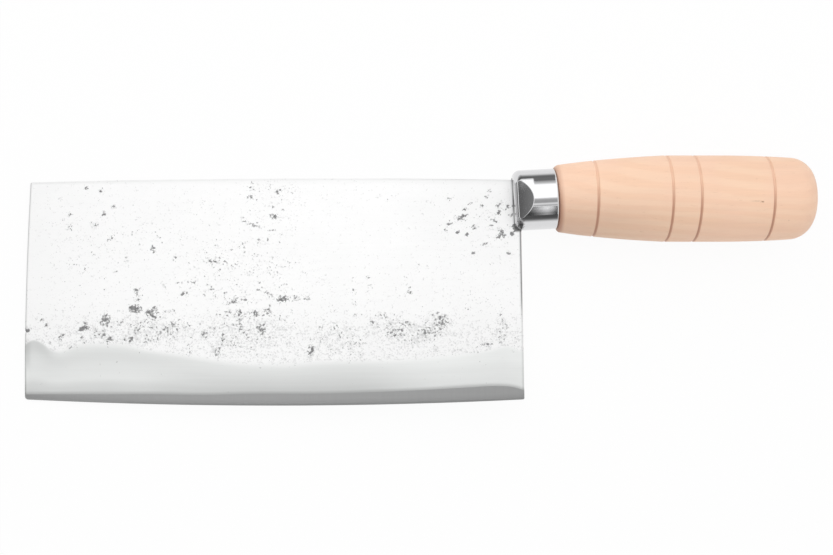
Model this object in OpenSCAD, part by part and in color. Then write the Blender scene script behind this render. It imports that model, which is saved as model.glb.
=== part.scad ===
// Chinese cleaver: a broad laminated blade, a pressed ferrule and a turned wooden handle.
// The knife lies on its side. The origin is on the handle's axis, in the middle of the grip band.
// +X runs along the handle to the butt, +Y to the spine, and +Z out of the blade's right face.

/* [Blade] */
// Length of the cutting edge, from the front end to the heel
edge_length = 220; // [180:1:240]
// Height from the lowest point of the edge to the crest of the spine
blade_height = 100; // [80:1:115]
// Thickness of the laminated sheet
blade_thickness = 2.2; // [1.8:0.1:3.6]
// Thickness of the hard core inside the sheet
core_thickness = 0.8; // [0.5:0.1:1.2]
// Height of the spine's crest above the handle's axis
spine_rise = 8.8; // [7:0.1:10]
// Radius of the cutting edge's slight belly
belly_radius = 2200; // [1500:50:4000]
// Radius of the spine's slight crown
crown_radius = 5000; // [2500:100:8000]
// Distance of the crown's crest from the middle of the blade, towards the handle
crown_shift = 24; // [0:1:40]
// Radius of the front end's slight bow
bow_radius = 1600; // [800:50:4000]
// Lean of the front end from square, in degrees
front_lean = 1.6; // [0:0.1:4]
// Lean of the heel end from square, in degrees
heel_lean = 1.1; // [0:0.1:4]
// Corner radius between the front end and the edge
front_corner = 1.3; // [0.6:0.1:4]
// Corner radius between the front end and the spine
spine_corner = 0.7; // [0.4:0.1:4]
// Corner radius between the heel end and the edge
heel_corner = 0.6; // [0.4:0.1:3]

/* [Grind] */
// Slope of the wide bevel on each side, in degrees
bevel_angle = 2.9; // [2:0.1:4]
// Slope of the fine bevel at the cutting edge on each side, in degrees
edge_angle = 12; // [9:0.5:20]
// Height of the fine bevel
edge_bevel = 0.8; // [0.4:0.1:1.2]
// Height over which the wide bevel rounds into the flat
shoulder_height = 10; // [4:1:14]

/* [Neck and tang] */
// Height of the neck that joins the blade to the tang
neck_height = 12; // [10:0.5:12.5]
// Length of the neck behind the heel
neck_length = 9.6; // [9:0.1:12]
// Radius in the corner between the neck and the heel
neck_fillet = 2; // [1:0.1:2.5]
// Depth by which each face of the blade is relieved where it enters the ferrule
root_relief = 0.1; // [0.05:0.01:0.2]
// Width left round the ferrule when the faces are relieved
relief_margin = 0.5; // [0.3:0.1:2]
// Thickness of the tang
tang_thickness = 3; // [2:0.1:4]
// Height of the tang at its thin end
tang_end_height = 6; // [5:0.1:7]
// Radius of the round stub at the end of the tang
stub_r = 2.5; // [2:0.1:3]
// Radius of the head peened over the washer
head_r = 3.8; // [3.5:0.1:4.5]
// Radius of the peened head's flat top
head_top_r = 2.3; // [1.5:0.1:3]
// Height of the peened head
head_height = 1.3; // [0.8:0.1:1.6]

/* [Ferrule] */
// Outer radius of the ferrule
ferrule_r = 13.3; // [13:0.1:14]
// Length of the ferrule
ferrule_length = 18.7; // [16.5:0.1:21]
// Thickness of the pressed steel
ferrule_wall = 1.2; // [0.8:0.1:1.4]
// Outside radius round the closed front
ferrule_corner = 3.4; // [2:0.1:5]
// Rounding of the rear rim
rim_round = 0.5; // [0.2:0.1:0.6]
// Droop of the ferrule towards the cutting edge, in degrees
ferrule_droop = 3; // [0:0.1:4]
// Slope of the flat pressed into each side at the front, in degrees
flat_angle = 30; // [15:1:36]
// Distance of that flat's tip from the ferrule's rear rim
flat_tip = 11.2; // [8.5:0.1:13]
// Rounding between that flat and the front
flat_round = 2.8; // [2.2:0.1:3.2]
// Depth of the blade's heel inside the ferrule
heel_seat = 3.2; // [2.4:0.1:4]
// Clearance of the slot round the blade
slot_clearance = 0.15; // [0.05:0.01:0.4]

/* [Handle] */
// Length of the handle from the ferrule's rim to the butt
handle_length = 113.7; // [105:0.1:125]
// Distance from the middle of the grip band to the butt
butt_reach = 59.6; // [55:0.1:63]
// Radius of the grip
grip_r = 19; // [17.5:0.1:22]
// Radius of the handle just behind the ferrule
front_r = 14.9; // [14.8:0.1:16]
// Rounding of the wooden shoulder behind the ferrule
shoulder_round = 1.3; // [0.5:0.1:1.3]
// Length of the straight part of the grip behind the grip band's middle
straight_length = 17; // [10:0.5:24]
// Distance in front of the grip band's middle at which the handle starts to taper
taper_start = 6.6; // [6.2:0.1:12]
// Radius of the slight barrel towards the butt
barrel_radius = 500; // [350:10:900]
// Radius of the butt's dome
dome_radius = 42; // [30:1:60]
// Corner radius between the grip and the dome
butt_corner = 10.5; // [6:0.1:12]
// Length of the tenon inside the ferrule
tenon_length = 8; // [6:0.1:8.5]
// Radial clearance between the tenon and the ferrule
tenon_clearance = 0.1; // [0.05:0.01:0.3]

/* [Grooves] */
// Width of the grip band between the two middle grooves
band_width = 12.2; // [10:0.1:13]
// Distance of the front groove from the grip band's middle
front_groove = 37.8; // [30:0.1:42]
// Distance of the rear groove from the grip band's middle
rear_groove = 37.5; // [28:0.1:42]
// Radius of a groove's round bottom
groove_r = 0.7; // [0.4:0.05:1]
// Depth of a groove
groove_depth = 0.45; // [0.2:0.05:0.6]

/* [Bore and washer] */
// Radius of the wide bore that takes the neck
neck_bore_r = 6.6; // [6.5:0.1:8]
// Radius of the narrow bore that takes the tang
tang_bore_r = 5.2; // [5.1:0.1:6]
// Distance of the narrow bore's start in front of the grip band's middle
bore_step = 6; // [2:0.5:12]
// Wood left between the narrow bore and the counterbore
end_wall = 11; // [6:0.5:16]
// Radial clearance of the stub in the wood
stub_clearance = 0.2; // [0.1:0.05:0.4]
// Radius of the counterbore in the butt
counterbore_r = 7; // [6.8:0.1:8]
// Depth of the counterbore at the butt's crest
counterbore_depth = 3; // [2.8:0.1:4]
// Radius of the washer
washer_r = 6.5; // [5.5:0.1:6.6]
// Thickness of the washer
washer_thickness = 1.2; // [0.8:0.1:1.2]
// Radial clearance of the stub in the washer
washer_clearance = 0.1; // [0.05:0.05:0.2]
// Gap between the bedding resin and what it surrounds
bedding_gap = 0.1; // [0.05:0.01:0.2]

/* [Hidden] */

// Facets of an ordinary round, of a very large one, and steps of one drawn curve
$fn = 96;
big_fn = 720;
arc_steps = 16;
// Length by which a cutting shape runs past what it cuts
past = 5;
// Length by which two shapes of one solid run into each other
overlap = 1;
corner_overlap = 0.1;
// Depth by which a rounding crosses the face that it runs into
crossing = 0.02;
// Spare angle of the grind's sweep beyond each end of the blade
sweep_margin = 3;
// Drop of the two lower corners' rounds, so that they cross the sharp edge and don't just touch it
corner_drop = [0, 0.1];

// Places along the handle's axis
shoulder_x = butt_reach - handle_length;
ferrule_front_x = shoulder_x - ferrule_length;
heel_x = ferrule_front_x + heel_seat;
neck_end_x = heel_x + neck_length;
washer_x = butt_reach - counterbore_depth;
bore_end_x = washer_x - end_wall;
head_x = washer_x + washer_thickness;

// Places on the blade's outline
lowest_y = spine_rise - blade_height;
edge_end_y = lowest_y + belly_radius - sqrt(pow(belly_radius, 2) - pow(edge_length / 2, 2));
end_height = spine_rise - edge_end_y;
heel_edge_x = heel_x + end_height * tan(heel_lean);
front_edge_x = heel_edge_x - edge_length;
front_top_x = front_edge_x + end_height * tan(front_lean);
middle_x = heel_edge_x - edge_length / 2;
belly_slope = asin(edge_length / 2 / belly_radius);
crest_x = middle_x + crown_shift;
crown_slope = asin((crest_x - front_top_x) / crown_radius);
front_top_y = spine_rise - crown_radius * (1 - cos(crown_slope));
bow_turn = asin(end_height / 2 / cos(front_lean) / bow_radius);

// Section of the blade: half thicknesses, and heights above the edge
half_thickness = blade_thickness / 2;
half_core = core_thickness / 2;
fine_half = edge_bevel * tan(edge_angle);
bevel_rise = (half_thickness - fine_half) / tan(bevel_angle);
shoulder_middle = edge_bevel + bevel_rise;
core_line = edge_bevel + (half_core - fine_half) / tan(bevel_angle);
section_height = blade_height + 3 * past;
sweep = 2 * (belly_slope + sweep_margin);
root_half = half_thickness - root_relief;

// Sizes that follow from a fit
ferrule_inner_r = ferrule_r - ferrule_wall;
tenon_r = ferrule_inner_r - tenon_clearance;
inner_corner = max(ferrule_corner - ferrule_wall, 0.3);
beyond = 4 * ferrule_r;
wood_front_r = front_r - shoulder_round;
stub_hole_r = stub_r + stub_clearance;
taper_length = -taper_start - shoulder_x - shoulder_round;
// Slope of the handle's outline just behind the ferrule, and where it meets the grip
taper_slope = 0.14;
grip_slope = 0.05;

function unit(v) = v / norm(v);
function arc(centre, r, from, to) =
    [for (i = [0 : arc_steps]) centre + r * dir(from + (to - from) * i / arc_steps)];
function dir(angle) = [cos(angle), sin(angle)];
function blend(a, b, c, d, t) =
    pow(1 - t, 3) * a + 3 * pow(1 - t, 2) * t * b + 3 * (1 - t) * t * t * c + pow(t, 3) * d;
function blend_curve(a, b, c, d) =
    [for (i = [0 : arc_steps]) blend(a, b, c, d, i / arc_steps)];
// The same arc without its first point, for a curve that carries on from another
function arc_on(centre, r, from, to) =
    [for (i = [1 : arc_steps]) centre + r * dir(from + (to - from) * i / arc_steps)];
// Where two circles meet, to the left of the line from the first centre to the second
function meeting(c1, r1, c2, r2) =
    let (gap = norm(c2 - c1), along = (r1 * r1 - r2 * r2 + gap * gap) / (2 * gap), u = unit(c2 - c1))
    c1 + along * u + sqrt(r1 * r1 - along * along) * [-u[1], u[0]];
function heading(v) = atan2(v[1], v[0]);

// Turns an outline of [distance along the axis, radius] points round the X axis
module turned(outline) {
    rotate([0, 90, 0])
        rotate_extrude()
            polygon([for (p = outline) [p[1], p[0]]]);
}

// What a rounded corner loses: p is the corner, a and b point along its two sides
module corner_waste(p, a, b, r) {
    half = acos(a * b) / 2;
    centre = p + unit(a + b) * r / sin(half);
    on_a = p + a * r / tan(half);
    on_b = p + b * r / tan(half);
    difference() {
        polygon([p - a - b, on_a + unit(on_a - centre), centre, on_b + unit(on_b - centre)]);
        translate(centre)
            circle(r = r);
    }
}

// What a fillet adds in an inside corner
module corner_web(p, a, b, r) {
    half = acos(a * b) / 2;
    centre = p + unit(a + b) * r / sin(half);
    difference() {
        polygon([p - (a + b) * corner_overlap, p + a * r / tan(half), centre,
            p + b * r / tan(half)]);
        translate(centre)
            circle(r = r);
    }
}

// The blade seen from its side, without the neck; the grind's belly cuts its lower side
module blade_plan() {
    front_up = dir(90 - front_lean);
    front_foot = [front_edge_x, edge_end_y];
    bow_middle = front_foot + front_up * end_height / 2 / cos(front_lean);
    bow_centre = bow_middle + dir(-front_lean) * bow_radius * cos(bow_turn);
    difference() {
        intersection() {
            polygon([
                [front_edge_x - past, lowest_y - past],
                [front_edge_x - past, spine_rise + past],
                [heel_x - past * tan(heel_lean), spine_rise + past],
                [heel_edge_x + (edge_end_y - lowest_y + past) * tan(heel_lean), lowest_y - past]
            ]);
            translate([crest_x, spine_rise - crown_radius])
                circle(r = crown_radius, $fn = big_fn);
            translate(bow_centre)
                circle(r = bow_radius, $fn = big_fn);
        }
        corner_waste(front_foot - corner_drop, dir(90 - front_lean + bow_turn),
            dir(-belly_slope), front_corner);
        corner_waste([front_top_x, front_top_y], dir(-90 - front_lean - bow_turn),
            dir(crown_slope), spine_corner);
        corner_waste([heel_edge_x, edge_end_y] - corner_drop, dir(90 + heel_lean),
            dir(180 + belly_slope), heel_corner);
    }
}

// The fillet under the neck, seen from the blade's side
module neck_web() {
    root_x = heel_x + (spine_rise + neck_height / 2) * tan(heel_lean);
    corner_web([root_x, -neck_height / 2], dir(0), dir(heel_lean - 90), neck_fillet);
}

// The ground face of a cladding, as [distance from the belly's centre, height of the face]
function cladding_face() =
    let (
        shoulder = shoulder_height / 2,
        start = [belly_radius - shoulder_middle + shoulder * cos(bevel_angle),
            half_thickness - shoulder * sin(bevel_angle)],
        knee = [belly_radius - shoulder_middle, half_thickness],
        end = [belly_radius - shoulder_middle - shoulder, half_thickness]
    )
    [for (i = [0 : arc_steps]) blend(start, knee, knee, end, i / arc_steps)];

// Sweeps a section of the blade along the belly
module ground(section) {
    translate([middle_x, lowest_y + belly_radius, 0])
        rotate([0, 0, -90 - sweep / 2])
            rotate_extrude(angle = sweep, $fn = big_fn)
                polygon(section);
}

// One layer of the laminated sheet between two heights: the ground blade with its neck
module blade_layer(low, high, section) {
    difference() {
        union() {
            intersection() {
                translate([0, 0, -blade_thickness])
                    linear_extrude(2 * blade_thickness)
                        blade_plan();
                ground(section);
            }
            translate([heel_x - past, -neck_height / 2, low])
                cube([neck_end_x - heel_x + past, neck_height, high - low]);
            translate([0, 0, low])
                linear_extrude(high - low)
                    neck_web();
        }
        root_waste();
    }
}

// The shallow relief of a face where it goes into the ferrule's slot
module root_waste() {
    reach = ferrule_length + relief_margin;
    side = ferrule_r + relief_margin;
    at_ferrule()
        translate([-reach, -side, root_half])
            cube([2 * reach, beyond, past]);
}

module blade_core() {
    color("dimgray")
        blade_layer(-half_core, half_core, [
            [belly_radius, 0], [belly_radius - edge_bevel, fine_half],
            [belly_radius - core_line, half_core], [belly_radius - section_height, half_core],
            [belly_radius - section_height, -half_core], [belly_radius - core_line, -half_core],
            [belly_radius - edge_bevel, -fine_half]
        ]);
}

module cladding_right() {
    color("gainsboro")
        blade_layer(half_core, half_thickness, concat(
            [[belly_radius - core_line, half_core]],
            cladding_face(),
            [[belly_radius - section_height, half_thickness],
                [belly_radius - section_height, half_core]]
        ));
}

module cladding_left() {
    mirror([0, 0, 1])
        cladding_right();
}

// Half the tang's height at a place along the handle
function tang_half(x) =
    let (share = (x - neck_end_x) / (bore_end_x - neck_end_x))
    neck_height / 2 + (tang_end_height - neck_height) / 2 * share;

// The flat bar of the tang, grown all round by the given gap
module tang_bar(grow) {
    end_x = bore_end_x - bedding_gap;
    translate([0, 0, -tang_thickness / 2 - grow])
        linear_extrude(tang_thickness + 2 * grow)
            polygon([
                [neck_end_x - grow, -tang_half(neck_end_x) - grow],
                [end_x, -tang_half(end_x) - grow],
                [end_x, tang_half(end_x) + grow],
                [neck_end_x - grow, tang_half(neck_end_x) + grow]
            ]);
}

// The tang: a flat bar with a round stub, peened into a head over the washer
module tang() {
    stub_start = bore_end_x - stub_r;
    color("silver") {
        tang_bar(0);
        turned([
            [stub_start, 0], [stub_start, stub_r], [head_x, stub_r],
            [head_x, head_r], [head_x + head_height / 2, head_r],
            [head_x + head_height, head_top_r], [head_x + head_height, 0]
        ]);
    }
}

// Puts what it holds into the ferrule's own frame, with its rear rim at X = 0
module at_ferrule() {
    translate([shoulder_x, 0, 0])
        rotate([0, 0, ferrule_droop])
            children();
}

// What the two pressed flats take away, drawn in by inset: a slope that rounds into the front
module flat_waste(inset) {
    slope = tan(flat_angle);
    round_r = flat_round - inset;
    front_x = -ferrule_length + inset - crossing;
    tip = [-flat_tip, ferrule_r] - inset * dir(90 + flat_angle);
    centre_x = front_x + round_r;
    centre = [centre_x, tip[1] + (centre_x - tip[0]) * slope - round_r / cos(flat_angle)];
    top = tip[1] + (beyond - tip[0]) * slope;
    for (side = [0, 1])
        mirror([0, 0, side])
            rotate([90, 0, 0])
                linear_extrude(beyond, center = true)
                    polygon(concat(
                        arc(centre, round_r, 180, 90 + flat_angle),
                        [[beyond, top], [front_x - past, top], [front_x - past, centre[1]]]
                    ));
}

// A cup with a rounded closed front, in the ferrule's own frame
module cup(r, front_x, rear_x, corner, rear_round) {
    rear_side = rear_round > 0
        ? arc([rear_x - rear_round, r - rear_round], rear_round, 90, 0)
        : [[rear_x, r]];
    turned(concat(
        [[front_x, 0]],
        arc([front_x + corner, r - corner], corner, 180, 90),
        rear_side,
        [[rear_x, 0]]
    ));
}

// The hollow inside the ferrule, drawn in by a gap and ending at rear_x
module ferrule_hollow(gap, rear_x) {
    difference() {
        cup(ferrule_inner_r - gap, -ferrule_length + ferrule_wall + gap, rear_x, inner_corner, 0);
        flat_waste(ferrule_wall + gap);
    }
}

// The space that the blade's root takes, with a gap all round
module root_space(gap) {
    translate([0, 0, -root_half - gap])
        linear_extrude(2 * (root_half + gap))
            polygon([
                [ferrule_front_x - 2 * past, spine_rise + gap],
                [heel_x + gap, spine_rise + gap],
                [heel_x + gap + beyond * tan(heel_lean), spine_rise + gap - beyond],
                [ferrule_front_x - 2 * past, spine_rise + gap - beyond]
            ]);
}

module ferrule() {
    color("lightgray")
        difference() {
            at_ferrule()
                difference() {
                    cup(ferrule_r, -ferrule_length, 0, ferrule_corner, rim_round);
                    flat_waste(0);
                    ferrule_hollow(0, past);
                }
            root_space(slot_clearance);
        }
}

// The bore through the handle, with its walls moved inwards by gap
module bore_space(gap, front_x) {
    turned([
        [front_x, 0], [front_x, neck_bore_r - gap], [-bore_step - gap, neck_bore_r - gap],
        [-bore_step - gap, tang_bore_r - gap], [bore_end_x - gap, tang_bore_r - gap],
        [bore_end_x - gap, 0]
    ]);
}

// The resin that fills the ferrule and the bore round the neck and the tang
module tang_bedding() {
    tenon_front = -tenon_length - bedding_gap;
    neck_half = neck_height / 2 + bedding_gap;
    color("tan")
        difference() {
            union() {
                at_ferrule()
                    ferrule_hollow(bedding_gap, tenon_front);
                bore_space(bedding_gap, shoulder_x - tenon_length - overlap);
            }
            root_space(bedding_gap);
            translate([heel_x - past, -neck_half, -root_half - bedding_gap])
                cube([neck_end_x + bedding_gap - heel_x + past, 2 * neck_half,
                    2 * (root_half + bedding_gap)]);
            translate([0, 0, -root_half - bedding_gap])
                linear_extrude(2 * (root_half + bedding_gap))
                    corner_web([heel_x + (spine_rise + neck_half) * tan(heel_lean) + bedding_gap,
                        -neck_half], dir(0), dir(heel_lean - 90), neck_fillet);
            tang_bar(bedding_gap);
            turned([[bore_end_x - stub_r - bedding_gap, 0],
                [bore_end_x - stub_r - bedding_gap, stub_hole_r],
                [bore_end_x + past, stub_hole_r], [bore_end_x + past, 0]]);
        }
}

// The handle's outline from the ferrule to the butt's crest
function handle_outline() =
    let (
        front = [shoulder_x + shoulder_round, front_r],
        taper_end = [-taper_start, grip_r],
        barrel_centre = [straight_length, grip_r - barrel_radius],
        dome_centre = [butt_reach - dome_radius, 0],
        corner_centre = meeting(dome_centre, dome_radius - butt_corner,
            barrel_centre, barrel_radius - butt_corner),
        corner_from = heading(corner_centre - barrel_centre),
        corner_to = heading(corner_centre - dome_centre)
    )
    concat(
        [[shoulder_x - past, 0], front - past * [1, taper_slope]],
        blend_curve(front, front + taper_length / 3 * [1, taper_slope],
            taper_end - taper_length / 3 * [1, grip_slope], taper_end),
        arc(barrel_centre, barrel_radius, 90, corner_from),
        arc_on(corner_centre, butt_corner, corner_from, corner_to),
        arc_on(dome_centre, dome_radius, corner_to, 0)
    );

// The shoulder's limit in the ferrule's frame: a rounded rim that then opens wide
module shoulder_limit() {
    far = handle_length + past;
    turned(concat(
        [[0, 0]],
        arc([shoulder_round, wood_front_r], shoulder_round, 180, 90),
        [[shoulder_round + far, front_r + far], [2 * far, front_r + far], [2 * far, 0]]
    ));
}

// A ring that cuts one groove round the handle
module groove(x, r) {
    translate([x, 0, 0])
        rotate([0, 90, 0])
            rotate_extrude()
                translate([r + groove_r - groove_depth, 0])
                    circle(r = groove_r, $fn = 32);
}

// Radius of the handle where a groove is cut, read from the same curves as the outline
function barrel_r(x) =
    grip_r - barrel_radius + sqrt(pow(barrel_radius, 2) - pow(x - straight_length, 2));
function taper_r(x) =
    let (
        a = front_r,
        b = front_r + taper_length / 3 * taper_slope,
        c = grip_r - taper_length / 3 * grip_slope,
        t = (x + taper_start + taper_length) / taper_length
    )
    blend(a, b, c, grip_r, t);

module handle() {
    color("burlywood")
        difference() {
            union() {
                intersection() {
                    turned(handle_outline());
                    at_ferrule()
                        shoulder_limit();
                }
                at_ferrule()
                    turned([[-tenon_length, 0], [-tenon_length, tenon_r],
                        [past, tenon_r], [past, 0]]);
            }
            bore_space(0, shoulder_x - tenon_length - past);
            turned([[bore_end_x - overlap, 0], [bore_end_x - overlap, stub_hole_r],
                [butt_reach, stub_hole_r], [butt_reach, 0]]);
            turned([[washer_x, 0], [washer_x, counterbore_r],
                [butt_reach + past, counterbore_r], [butt_reach + past, 0]]);
            groove(-front_groove, taper_r(-front_groove));
            groove(-band_width / 2, grip_r);
            groove(band_width / 2, grip_r);
            groove(rear_groove, barrel_r(rear_groove));
        }
}

module butt_washer() {
    color("silver")
        translate([washer_x, 0, 0])
            rotate([0, 90, 0])
                difference() {
                    cylinder(r = washer_r, h = washer_thickness);
                    translate([0, 0, -past])
                        cylinder(r = stub_r + washer_clearance, h = 2 * past + washer_thickness);
                }
}

blade_core();
cladding_right();
cladding_left();
tang();
tang_bedding();
ferrule();
handle();
butt_washer();
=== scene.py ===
"""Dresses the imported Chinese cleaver: ground laminated blade, polished ferrule, turned handle, studio.

The knife lies on its side. Lengths in the classes are millimetres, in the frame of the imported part;
meshes are made in metres. +X runs to the butt, +Y to the spine and +Z out of the blade's right face.
"""

import logging
import math
from collections.abc import Sequence
from dataclasses import dataclass
from enum import Enum

import bmesh
import bpy
import numpy as np
from bpy.types import Material, Mesh, Node, NodeSocket, NodeTree, Object
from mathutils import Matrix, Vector


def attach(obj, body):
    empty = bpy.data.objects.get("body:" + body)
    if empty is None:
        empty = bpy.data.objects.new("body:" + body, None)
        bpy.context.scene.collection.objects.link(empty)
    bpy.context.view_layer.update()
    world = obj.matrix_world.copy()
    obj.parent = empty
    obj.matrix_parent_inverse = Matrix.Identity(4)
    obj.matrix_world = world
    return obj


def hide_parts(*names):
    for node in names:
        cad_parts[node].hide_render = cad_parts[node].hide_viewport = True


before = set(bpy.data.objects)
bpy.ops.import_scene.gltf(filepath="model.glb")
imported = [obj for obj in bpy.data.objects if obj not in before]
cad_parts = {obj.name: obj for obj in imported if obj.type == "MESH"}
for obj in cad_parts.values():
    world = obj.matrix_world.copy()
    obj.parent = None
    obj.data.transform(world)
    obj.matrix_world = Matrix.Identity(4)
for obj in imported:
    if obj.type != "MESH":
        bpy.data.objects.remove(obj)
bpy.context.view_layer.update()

MM = 0.001
BODY = "root"
# Points that are nearer than this are one
TOUCHING = 1e-7

Array = np.ndarray
Sockets = dict[str, NodeSocket]
log = logging.getLogger("cleaver")


class Slot(Enum):
    """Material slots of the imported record."""

    CLADDING = "cladding"
    CORE = "core"
    TANG = "tang"
    FERRULE = "ferrule"
    WOOD = "wood"
    WASHER = "washer"


class Side(Enum):
    """The blade's two faces; the value is the sign of the face's normal along Z."""

    RIGHT = 1
    LEFT = -1


# Plain geometry


def through(places: Array, knots: Sequence[tuple[float, float]]) -> Array:
    """Reads a smooth curve through knots.

    Args:
        places: Where the curve is read.
        knots: Pairs of place and value, in rising order of place.

    Returns:
        The curve's values, with the end values kept outside the knots.
    """
    xs, ys = (np.array(v, float) for v in zip(*knots))
    slopes = np.gradient(ys, xs)
    x = np.clip(places, xs[0], xs[-1])
    i = np.clip(np.searchsorted(xs, x, side="right") - 1, 0, len(xs) - 2)
    step = xs[i + 1] - xs[i]
    t = (x - xs[i]) / step
    rest = 1 - t
    return (
        ys[i] * (1 + 2 * t) * rest**2
        + ys[i + 1] * t**2 * (3 - 2 * t)
        + step * (slopes[i] * t * rest**2 - slopes[i + 1] * t**2 * rest)
    )


def smooth_step(low: float, high: float, value: Array) -> Array:
    """Goes smoothly from 0, where the value is low, to 1, where it is high."""
    t = np.clip((value - low) / (high - low), 0, 1)
    return t * t * (3 - 2 * t)


def arc(centre: Sequence[float], radius: float, start: float, end: float, steps: int) -> list:
    """Points on an arc in a plane, both ends included, with the angles in degrees."""
    turns = np.radians(np.linspace(start, end, steps + 1))
    return [(centre[0] + radius * math.cos(a), centre[1] + radius * math.sin(a)) for a in turns]


def direction(degrees: float) -> Array:
    """Unit vector in a plane at an angle in degrees."""
    return np.array([math.cos(math.radians(degrees)), math.sin(math.radians(degrees))])


def round_corner(points: Array, corner: Array, side_a: Array, side_b: Array, radius: float) -> Array:
    """Draws the points near a sharp corner of an outline into a rounded one.

    Args:
        points: Points in the plane, in the last axis.
        corner: The sharp corner.
        side_a: Unit vector from the corner along one side.
        side_b: Unit vector from the corner along the other side.
        radius: Radius of the rounded corner.

    Returns:
        The moved points.
    """
    sides = np.stack([side_a, side_b], axis=1)
    local = (points - corner) @ np.linalg.inv(sides).T
    reach = radius - local
    near = (local < radius).all(axis=-1) & (local > -radius).all(axis=-1)
    size = np.maximum(np.linalg.norm(reach, axis=-1), 1e-9)
    squeeze = np.where(near, reach.max(axis=-1) / size, 1.0)
    moved = radius - reach * squeeze[..., None]
    return np.where(near[..., None], corner + moved @ sides.T, points)


def grid_faces(rows: int, columns: int, closed: bool = False) -> Array:
    """Faces of a grid of points that are numbered row by row.

    Args:
        rows: Number of rows.
        columns: Number of columns.
        closed: Whether the last column joins the first.

    Returns:
        Four corners for each face.
    """
    row = np.arange(rows - 1)[:, None] * columns
    column = np.arange(columns if closed else columns - 1)[None, :]
    beside = (column + 1) % columns
    corners = (row + column, row + beside, row + columns + beside, row + columns + column)
    return np.stack(corners, axis=-1).reshape(-1, 4)


def close_plate(top: Array, bottom: Array, faces: Array) -> tuple[Array, list]:
    """Closes two matching sheets into a solid with walls along their outline.

    Args:
        top: Points of the upper sheet.
        bottom: The matching points of the lower sheet. A point that both share joins them.
        faces: Faces of the upper sheet, seen from above.

    Returns:
        The solid's points and faces.
    """
    count = len(top)
    shared = np.linalg.norm(top - bottom, axis=1) < TOUCHING
    below = np.where(shared, np.arange(count), np.arange(count) + count)
    solid = [list(face) for face in faces]
    solid += [[int(below[i]) for i in reversed(face)] for face in faces]
    starts = faces.ravel()
    ends = np.roll(faces, -1, axis=1).ravel()
    edges = set(zip(starts.tolist(), ends.tolist()))
    for start, end in edges:
        if (end, start) not in edges:
            wall = [end, start, int(below[start]), int(below[end])]
            solid.append(list(dict.fromkeys(wall)))
    solid = [face for face in solid if len(face) > 2]
    used = np.unique(np.concatenate([np.array(face) for face in solid]))
    number = np.full(2 * count, -1)
    number[used] = np.arange(len(used))
    points = np.concatenate([top, bottom])[used]
    return points, [[int(number[i]) for i in face] for face in solid]


def make_mesh(name: str, points: Array, faces: Sequence[Sequence[int]]) -> Mesh:
    """Makes a mesh from points in millimetres.

    Args:
        name: Name of the mesh.
        points: Points in millimetres, as rows.
        faces: Corners of each face.

    Returns:
        The mesh, in metres, with its faces outwards.
    """
    mesh = bpy.data.meshes.new(name)
    mesh.from_pydata((np.asarray(points, float) * MM).tolist(), [], [list(f) for f in faces])
    mesh.update()
    face_outwards(mesh)
    return mesh


def link_object(name: str, mesh: Mesh) -> Object:
    """Puts a mesh into the scene.

    Args:
        name: Name of the object.
        mesh: Its mesh.

    Returns:
        The new object, at the origin.
    """
    made = bpy.data.objects.new(name, mesh)
    bpy.context.scene.collection.objects.link(made)
    return made


def read_all(rows: object, name: str, kind: type = np.float32) -> Array:
    """Reads a property of all rows of a mesh's data.

    Args:
        rows: The mesh's vertices, loops, polygons or the like.
        name: Name of the property.
        kind: Type of its numbers; whole numbers come one to a row, others three.

    Returns:
        The values.
    """
    width = 1 if kind is np.int32 else 3
    values = np.empty(len(rows) * width, kind)
    rows.foreach_get(name, values)
    return values if width == 1 else values.reshape(-1, width)


def mesh_points(mesh: Mesh) -> Array:
    """The mesh's points in metres, as rows."""
    return read_all(mesh.vertices, "co", float)


def face_outwards(mesh: Mesh) -> None:
    """Turns a closed mesh right side out where its faces point inwards.

    Args:
        mesh: The mesh.
    """
    mesh.calc_loop_triangles()
    corners = np.empty(len(mesh.loop_triangles) * 3, np.int32)
    mesh.loop_triangles.foreach_get("vertices", corners)
    a, b, c = mesh_points(mesh)[corners.reshape(-1, 3)].transpose(1, 0, 2)
    if np.einsum("ij,ij->", a, np.cross(b, c)) < 0:
        mesh.flip_normals()
        mesh.update()


def shade(mesh: Mesh, sharp_above: float) -> None:
    """Shades a mesh smooth, with sharp edges above an angle in degrees."""
    mesh.polygons.foreach_set("use_smooth", [True] * len(mesh.polygons))
    mesh.set_sharp_from_angle(angle=math.radians(sharp_above))


def store_values(mesh: Mesh, name: str, values: Array) -> None:
    """Keeps one number for each point of a mesh, for its material."""
    kept = mesh.attributes.new(name, "FLOAT", "POINT")
    kept.data.foreach_set("value", np.asarray(values, np.float32).ravel())


def join_doubles(mesh: Mesh) -> None:
    """Joins the points of a mesh that lie on one another.

    Args:
        mesh: The mesh.
    """
    work = bmesh.new()
    work.from_mesh(mesh)
    bmesh.ops.remove_doubles(work, verts=work.verts, dist=TOUCHING)
    work.to_mesh(mesh)
    work.free()


def apply_modifiers(made: Object) -> None:
    """Turns an object and its modifiers into a plain mesh.

    Args:
        made: The object, which keeps its name.
    """
    graph = bpy.context.evaluated_depsgraph_get()
    result = bpy.data.meshes.new_from_object(
        made.evaluated_get(graph), preserve_all_data_layers=True, depsgraph=graph
    )
    made.modifiers.clear()
    made.data = result
    result.name = made.name
    face_outwards(result)


def carry(made: Object, finish: Material, node: str) -> None:
    """Gives a finished piece its finish and its body, and hides the CAD node that it replaces.

    Args:
        made: The piece.
        finish: Its material.
        node: The CAD node that it replaces.
    """
    made.data.materials.clear()
    made.data.materials.append(finish)
    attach(made, BODY)
    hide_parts(node)
    log.info("%s: %d faces, stands for %s", made.name, len(made.data.polygons), node)


# Node trees

FLOAT, VECTOR, INTEGER = "NodeSocketFloat", "NodeSocketVector", "NodeSocketInt"
GEOMETRY, MATERIAL = "NodeSocketGeometry", "NodeSocketMaterial"


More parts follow.
